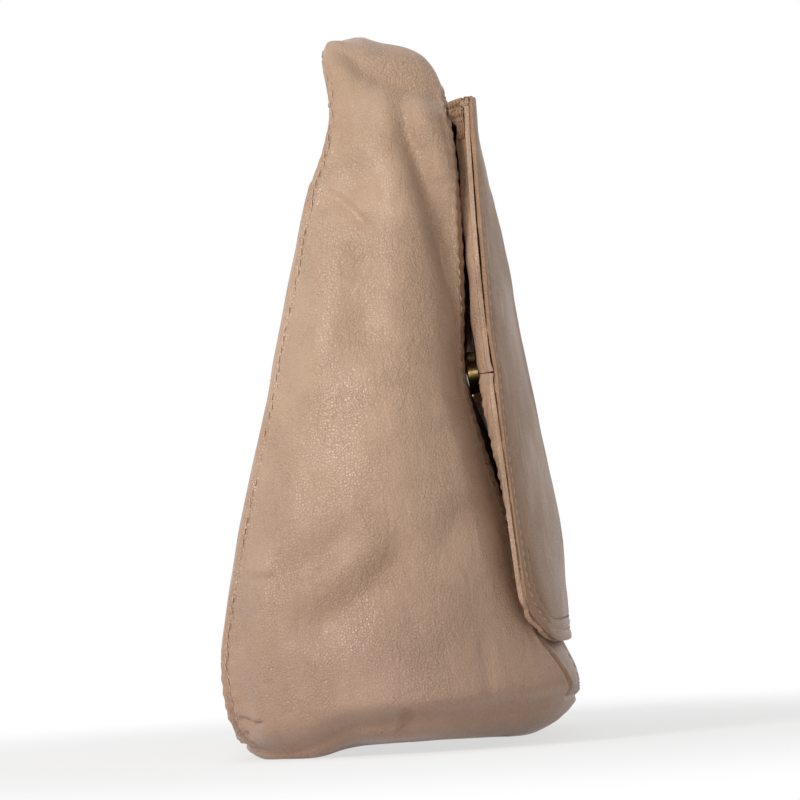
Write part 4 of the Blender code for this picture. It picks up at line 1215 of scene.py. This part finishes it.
# how far the outer leather's edge leans back on the lining's: (height, millimetres)
edgeBack = (
    (30, 0.9), (60, 0.9), (86, 1.0), (100, 0.75), (108, 0.35), (118, 0.9), (134, 0.4), (157, 0.55),
    (168, 0.6), (177, 0.6), (187, 0.4),
)
foldOver = {"start": (0.0, -0.0255, 0.184), "end": (0.0, -0.0315, 0.1775)}


def growUp(work, heights):
    # carry a sheet's top edge on upwards, the way its last row runs
    top = max(v.co.z for v in work.verts)
    edge = [v for v in work.verts if v.is_boundary and v.co.z > top - 0.4 * mm]
    edge.sort(key=lambda v: v.co.x)
    ways = []
    for v in edge:
        below = min((e.other_vert(v) for e in v.link_edges), key=lambda o: o.co.z)
        ways.append((v.co - below.co) / (v.co.z - below.co.z))
    starts = [v.co.copy() for v in edge]
    for height in heights:
        fresh = [work.verts.new(start + way * (height - start.z))
                 for start, way in zip(starts, ways)]
        for i in range(len(edge) - 1):
            work.faces.new((edge[i], edge[i + 1], fresh[i + 1], fresh[i]))
        edge = fresh
    bmesh.ops.recalc_face_normals(work, faces=work.faces)


def flapSheet(name, node, facing, heights):
    # the side of a CAD sheet that faces one way, carried on up to the hinge and made smooth
    work = mergedCopy(node)
    away = [face for face in work.faces if face.normal.dot(Vector(facing)) < 0.45]
    bmesh.ops.delete(work, geom=away, context="FACES")
    toQuads(work)
    if heights:
        growUp(work, heights)
    work.normal_update()
    wrong = [face for face in work.faces if face.normal.dot(Vector(facing)) < 0]
    bmesh.ops.reverse_faces(work, faces=wrong)
    return subdivideThrough(fromWork(name, work), 3)


def topShift(co):
    # the flap leans back a little where it nears the hinge
    flat, crown = flapLook["topBack"]
    across = 1 - np.clip(np.abs(co[:, 0]) / 0.088, 0, 1) ** 8
    return (flat + crown * across) * smoothStep(0.157, 0.178, co[:, 2])


def makeFlapLeather():
    look = flapLook
    heights = (0.1785, 0.1820, 0.1846, look["top"])
    thing = flapSheet("flapLeather", "flap_leather", (0, -1, 0), heights)
    co = points(thing)
    _, y, z = co.T
    sides = borderDistance(thing, 0.1855)
    y += topShift(co)
    y += heightTable(edgeBack, z) * (1 - smoothStep(3 * mm, 15 * mm, sides))
    setPoints(thing, co)
    way = normals(thing)
    low = smoothStep(0.062, 0.050, z)
    move = waves(co, look["waves"], borderDistance(thing))
    move += 0.30 * mm * bell(sides - 1.0 * mm, 1.1 * mm)
    move -= 0.35 * mm * bell(sides - look["rowInset"], 0.6 * mm)
    move -= 0.35 * mm * bell(sides - look["secondRow"], 0.6 * mm) * low
    move += 0.15 * mm * bell(sides - 4.8 * mm, 0.8 * mm) * low
    setPoints(thing, co + way * move[:, None])
    edgeRow = rowInside(thing, sides, look["rowInset"], 0.1840)
    lowRow = rowInside(thing, sides, look["secondRow"], 0.0560)
    return thicken(thing, look["sheet"], look["edgeRound"], 3), edgeRow, lowRow


def rowInside(thing, away, inset, top):
    # the line at one distance from the border, walked from left to right
    steps = 120
    middleZ = 0.110
    co = points(thing)
    near = (np.abs(away - inset) < 0.8 * mm) & (co[:, 2] < top)
    ring, gap = co[near], away[near] - inset
    turn = np.arctan2(ring[:, 0], middleZ - ring[:, 2])
    path = []
    for step in range(-steps, steps + 1):
        angle = step * math.pi / steps
        close = np.abs(turn - angle) < 0.035
        if close.sum() < 2:
            continue
        weight = bell(turn[close] - angle, 0.012) * bell(gap[close], 0.4 * mm) + 1e-9
        path.append((ring[close] * weight[:, None]).sum(0) / weight.sum())
    return onSurface(surfaceTree(thing), path, 0.05 * mm)


def makeLining(name, node, heights):
    look = flapLook
    thing = flapSheet(name, node, (0, 1, 0), heights)
    cutFiner(thing, lambda middle: abs(middle.x) > 0.076)
    co = points(thing)
    x, y, z = co.T
    half = 85 * mm + 13 * mm * np.sin(np.clip((0.1866 - z) / 0.1576, 0, 1) * math.pi / 2) ** 0.9
    inward = half - np.abs(x)
    y += snapLook["pressed"] * bell(np.hypot(x, z - snapLook["height"]), 15 * mm)
    y += look["liningBack"] * (1 - smoothStep(2 * mm, 8 * mm, inward))
    y += heightTable(liningRoll, z) * bell(inward - 5.6 * mm, 3.0 * mm)
    y[:] = np.where(z > 0.155, np.minimum(y, -25.4 * mm), y)
    atTop = smoothStep(0.1770, 0.1835, z) * smoothStep(0.066, 0.078, np.abs(x))
    y += (-29.1 * mm - y) * atTop
    # wrinkles: upright ones above the cross seam, slanting ones below it
    crossSeam = 0.107
    slant = np.where(z > crossSeam, 0.12, 0.9)
    lines = np.stack((x * 0.5, y + z * slant, z * 0.12), 1)
    ripple = softNoise(lines, 2.6 * mm, 31) * 0.24 * mm + softNoise(lines, 1.3 * mm, 33) * 0.09 * mm
    y += ripple * smoothStep(1.4 * mm, 3.2 * mm, inward) - 0.5 * mm * bell(z - crossSeam, 1.6 * mm)
    y -= 0.55 * mm * bell(inward - 1.9 * mm, 0.5 * mm)
    setPoints(thing, co)
    return thicken(thing, look["sheet"], look["edgeRound"], 3)


flapLeather, edgeRow, lowRow = makeFlapLeather()
liningUpper = makeLining("flapLiningUpper", "flap_lining_upper", (0.1815, 0.1840, 0.1865))
liningLower = makeLining("flapLiningLower", "flap_lining_lower", ())
print("flap sheets made")


def blendOver(thing, slotName, paint, *nodes):
    coat(thing, paint)
    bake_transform(thing, "bag", "flap", **foldOver)
    if nodes:
        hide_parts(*nodes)


# painted shade: the flap's outer leather takes the darker copy of the leather
blendOver(flapLeather, "leather", paintedShadeLeather, "flap_leather")
# painted light: the lining sheets take the brightened lining colours
blendOver(liningUpper, "leather_inner", liningLeather, "flap_lining_upper")
finishPiece(liningLower, "flap", "leather_inner", slantedLining, "flap_lining_lower")
edgeStitches = repeatAlong("flapEdgeStitches", [edgeRow], stitch, stitchLook["pitch"], thread)
blendOver(edgeStitches, "leather", thread)
# the flap's low row is sewn with the dark thread of painted shade
sewRow("flapLowStitches", "flap", [lowRow], paintedShadeThread)


# ---- the hinge: gathered leather between the front yoke and the flap

hingeLook = {
    "half": 85.2 * mm, "back": -24.4 * mm, "front": -28.9 * mm,
    "low": 174.5 * mm, "high": 185.2 * mm,
    "climb": 1.3 * mm,       # the top is higher at the flap than at the bag
    "round": 0.9 * mm, "gather": 0.27 * mm, "pitch": 0.95 * mm,
    "rows": (183.2 * mm, 180.4 * mm), "rowDepth": 0.9 * mm,
    "thin": (181.0 * mm, 178.0 * mm, 0.5),    # what is left of it lower down: (from, to, share)
    "cuts": (340, 44, 30),
}


def makeHinge():
    look = hingeLook
    work = bmesh.new()
    bmesh.ops.create_cube(work, size=2.0)
    for axis, count in enumerate(look["cuts"]):
        edges = [e for e in work.edges
                 if abs((e.verts[0].co - e.verts[1].co).normalized()[axis]) > 0.9]
        bmesh.ops.subdivide_edges(work, edges=edges, cuts=count, use_grid_fill=True)
    thing = fromWork("flapHinge", work)
    back, front, low, high = (look[key] for key in ("back", "front", "low", "high"))
    half = np.array((look["half"], (back - front) / 2, (high - low) / 2))
    co = points(thing) * half
    core = np.clip(co, look["round"] - half, half - look["round"])
    way = co - core
    way /= np.linalg.norm(way, axis=1, keepdims=True)
    place = core + way * look["round"]
    place += (0, (back + front) / 2, (high + low) / 2)
    x, y, z = place.T
    atEnd = way[:, 0] ** 2
    wobble = 1.4 * np.sin(z * 1100) + 0.8 * np.sin(z * 2300 + 1)
    ends = np.sin(y * (2 * math.pi / look["pitch"]) + wobble)
    length = np.sin(x * (2 * math.pi / (look["pitch"] * 1.8)) + 2.2 * np.sin(x * 230))
    dip = sum(bell(z - row, 0.38 * mm) for row in look["rows"]) * look["rowDepth"]
    gather = look["gather"] * (0.6 * ends * atEnd + 0.8 * length * (1 - atEnd))
    move = gather - dip * (0.3 + 0.7 * atEnd)
    place += way * move[:, None]
    share = np.clip((back - y) / (back - front), 0, 1)
    start, end, left = look["thin"]
    y += (front - y) * (1 - left) * smoothStep(start, end, z)
    z += look["climb"] * share * smoothStep(low, high, z)
    setPoints(thing, place)
    tree = surfaceTree(thing)
    steps = np.linspace(back - 0.3 * mm, front + 0.3 * mm, 12)
    rows = [onSurface(tree, [(side * 0.095, step, row) for step in steps], -0.12 * mm)
            for side in (-1, 1) for row in look["rows"]]
    # painted shade: the hinge takes the darker copy of the leather, for the shade under the crown
    blendOver(thing, "leather_inner", paintedShadeLeather, "flap_hinge")
    # the hinge rows are sewn with the dark thread of painted shade
    sewn = repeatAlong("hingeStitches", rows, stitch, 1.9 * mm, paintedShadeThread)
    blendOver(sewn, "leather_inner", paintedShadeThread)


makeHinge()
print("hinge gathered")


# ---- metal and inner pieces

def turned(name, profile, middle, axis):
    # spin a closed outline of (radius, along) about an axis
    segments = 64
    work = bmesh.new()
    rings = []
    for i in range(segments):
        angle = 2 * math.pi * i / segments
        rings.append([work.verts.new((r * math.cos(angle), r * math.sin(angle), h)) for r, h in profile])
    for i in range(segments):
        near, far = rings[i], rings[(i + 1) % segments]
        for j in range(len(profile)):
            k = (j + 1) % len(profile)
            work.faces.new((near[j], far[j], far[k], near[k]))
    bmesh.ops.remove_doubles(work, verts=work.verts, dist=1e-6)
    turn = Vector(axis).to_track_quat("Z", "Y").to_matrix().to_4x4()
    turn.translation = Vector(middle)
    bmesh.ops.transform(work, matrix=turn, verts=work.verts)
    bmesh.ops.recalc_face_normals(work, faces=work.faces)
    return fromWork(name, work)


def alongNormal(node):
    # how far a CAD node reaches along the snap's normal, and its radius
    normal = np.array(snapLook["normal"])
    co = points(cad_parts[node]) - snapLook["middle"]
    depth = co @ normal
    reach = np.linalg.norm(co - depth[:, None] * normal, axis=1)
    return depth.min(), depth.max(), reach.max()


def roundedDisc(low, high, radius, core, roundness, dish):
    # outline of a disc with rolled rims and a shallow dish on both faces
    outline = [(core, low + dish), (radius * 0.55, low + dish), (radius * 0.72, low + dish * 0.3)]
    outline += [(radius - roundness * 1.4, low)]
    for turn, middle in ((-90, low + roundness), (0, high - roundness)):
        for step in range(5):
            angle = math.radians(turn + step * 22.5)
            out, up = roundness * (math.cos(angle) - 1), roundness * math.sin(angle)
            outline.append((radius + out, middle + up))
        flat = middle + (0.06 * mm if turn else -0.06 * mm)
        outline.insert(len(outline) - (0 if turn else 5), (radius, flat))
    outline += [(radius - roundness * 1.4, high), (radius * 0.72, high - dish * 0.3)]
    outline += [(radius * 0.55, high - dish), (core, high - dish)]
    return outline


def snapPiece(name, node, body):
    look = snapLook
    low, high, reach = alongNormal(node)
    roundness = min((high - low) / 3, 0.25 * mm)
    profile = roundedDisc(low, high, reach * look["radiusShare"], 0.0001 * mm, roundness, look["dish"])
    middle = np.array(look["middle"]) + (0, look["pressed"], look["rise"])
    finishPiece(turned(name, profile, middle, look["normal"]), body, "gold", gold, node)


snapPiece("snapSocket", "snap_socket", "bag")
snapPiece("snapStud", "snap_stud", "flap")
for name, node, body in (
    ("zipSlider", "zip_slider", "slider"), ("zipPull", "zip_pull", "pull"),
    ("zipStopOpenEnd", "zip_stop_open_end", "bag"), ("zipStopClosedEnd", "zip_stop_closed_end", "bag"),
    ("snapSocketWasher", "snap_socket_washer", "bag"), ("snapStudWasher", "snap_stud_washer", "flap"),
):
    # a CAD piece with its sharp edges broken
    metal = fromWork(name, mergedCopy(node))
    roundEdges(metal, 0.16 * mm, 2, 35)
    bake(metal)
    if name.startswith("snap"):
        setPoints(metal, points(metal) + (0, snapLook["pressed"], snapLook["rise"]))
    finishPiece(metal, body, "gold", gold, node)

toothLook = {"pitch": 1.5 * mm, "thick": 0.85 * mm}


def toothShape():
    # a small clamped tooth: a body with a waist and a rounded tip, pointing to +Y of the row
    work = bmesh.new()
    low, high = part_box("zip_teeth_lower")
    tall, deep = high[2] - low[2], high[1] - low[1]
    outline = [(-0.5, 0.5), (-0.42, 0.15), (-0.36, -0.1), (-0.5, -0.28), (-0.3, -0.5)]
    outline += [(-x, y) for x, y in reversed(outline)]
    front, back = (
        [work.verts.new((x * toothLook["thick"], -y * tall, side * deep / 2)) for x, y in outline]
        for side in (1, -1)
    )
    work.faces.new(front)
    work.faces.new(list(reversed(back)))
    for i in range(len(outline)):
        j = (i + 1) % len(outline)
        work.faces.new((front[j], front[i], back[i], back[j]))
    bmesh.ops.recalc_face_normals(work, faces=work.faces)
    bmesh.ops.bevel(work, geom=work.edges[:], offset=0.12 * mm, segments=1, affect="EDGES")
    thing = fromWork("toothShape", work)
    thing.hide_render = True
    return thing


def makeTeeth():
    shape = toothShape()
    # a row's heading sets which way its teeth bite
    for name, node, heading in (
        ("zipTeethLower", "zip_teeth_lower", 1), ("zipTeethUpper", "zip_teeth_upper", -1),
    ):
        low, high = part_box(node)
        y, z = (low[1] + high[1]) / 2, (low[2] + high[2]) / 2
        start, end = (low[0] + 0.6 * mm, high[0] - 0.6 * mm)[::heading]
        path = [((x, y, z), (0, -1, 0)) for x in np.linspace(start, end, 20)]
        thing = repeatAlong(name, [path], shape, toothLook["pitch"], gold, 0.0)
        finishPiece(thing, "bag", "gold", gold, node)
    bpy.data.objects.remove(shape)


makeTeeth()


def softCopy(name, node, levels, body, slotName, paint, shape=None):
    # a CAD sheet with its sharp rims kept and its faces rounded
    work = mergedCopy(node)
    toQuads(work)
    layers = work.edges.layers.float
    sharp = layers.get("crease_edge") or layers.new("crease_edge")
    for edge in work.edges:
        if len(edge.link_faces) == 2 and edge.calc_face_angle(0) > math.radians(50):
            edge[sharp] = 0.85
    thing = subdivide(fromWork(name, work), levels)
    if shape:
        co = points(thing)
        setPoints(thing, shape(co, normals(thing)))
    return finishPiece(thing, body, slotName, paint, node)


def liningShape(co, way):
    co = co.copy()
    co[:, 1] += frontSinkAt(co) * (co[:, 1] < 0)
    return co + way * (softNoise(co, 22 * mm, 41) * 0.15 * mm)[:, None]


bodyLining = softCopy("bodyLining", "body_lining", 2, "bag", "lining", liningCloth, liningShape)
# the side of the lining that faces the leather lies a little less deep than the other
faceAway = [leatherTree.find_nearest(Vector(place))[1].dot(Vector(way)) < 0
            for place, way in zip(points(bodyLining), normals(bodyLining))]
tuckUnder(bodyLining, bodyLook["leather"] + (1.8 + 0.7 * np.array(faceAway)) * mm, True)
softCopy("zipTapeLower", "zip_tape_lower", 1, "bag", "tape", tapeCloth)
softCopy("zipTapeUpper", "zip_tape_upper", 1, "bag", "tape", tapeCloth)


def padShape(co, way):
    return np.stack((co[:, 0] * 0.93, co[:, 1] + topShift(co) * 0.4, co[:, 2]), 1)


softCopy("flapWadding", "flap_wadding", 1, "flap", "wadding", felt, padShape)

loopLook = {"settle": 1.3 * mm, "inset": 2.0 * mm, "pitch": 2.8 * mm}


def makeLoop(name, node):
    # an empty loop settles a little towards the panel
    low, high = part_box(node)

    def shape(co, way):
        tall = (co[:, 2] - low[2]) / (high[2] - low[2])
        middle = smoothStep(0.12, 0.26, tall) * smoothStep(0.12, 0.26, 1 - tall)
        co = co.copy()
        co[:, 1] += (0.2 + 0.1 * middle) * mm - loopLook["settle"] * middle
        bow = softNoise(co, 16 * mm, 51) * 0.12 * mm
        return co + way * bow[:, None]

    thing = softCopy(name, node, 3, "bag", "leather", leather, shape)
    tree = surfaceTree(thing)
    rows = []
    inset = loopLook["inset"]
    left, right = low[0] + inset, high[0] - inset
    short, tall = 1.2 * mm, 6.6 * mm
    for foot, head in ((low[2] + short, low[2] + tall), (high[2] - tall, high[2] - short)):
        corners = ((left, foot), (right, foot), (right, head), (left, head), (left, foot))
        places = []
        for (x0, z0), (x1, z1) in zip(corners, corners[1:]):
            for step in range(6):
                places.append((x0 + (x1 - x0) * step / 6, 0.06, z0 + (z1 - z0) * step / 6))
        rows.append(onSurface(tree, places, 0.05 * mm))
    sewRow(name + "Stitches", "bag", rows, pitch=loopLook["pitch"])


makeLoop("beltLoopLeft", "belt_loop_left")
makeLoop("beltLoopRight", "belt_loop_right")

coat(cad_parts["base_board"], boardCloth)
bpy.data.objects.remove(stitch)
print("small pieces made")
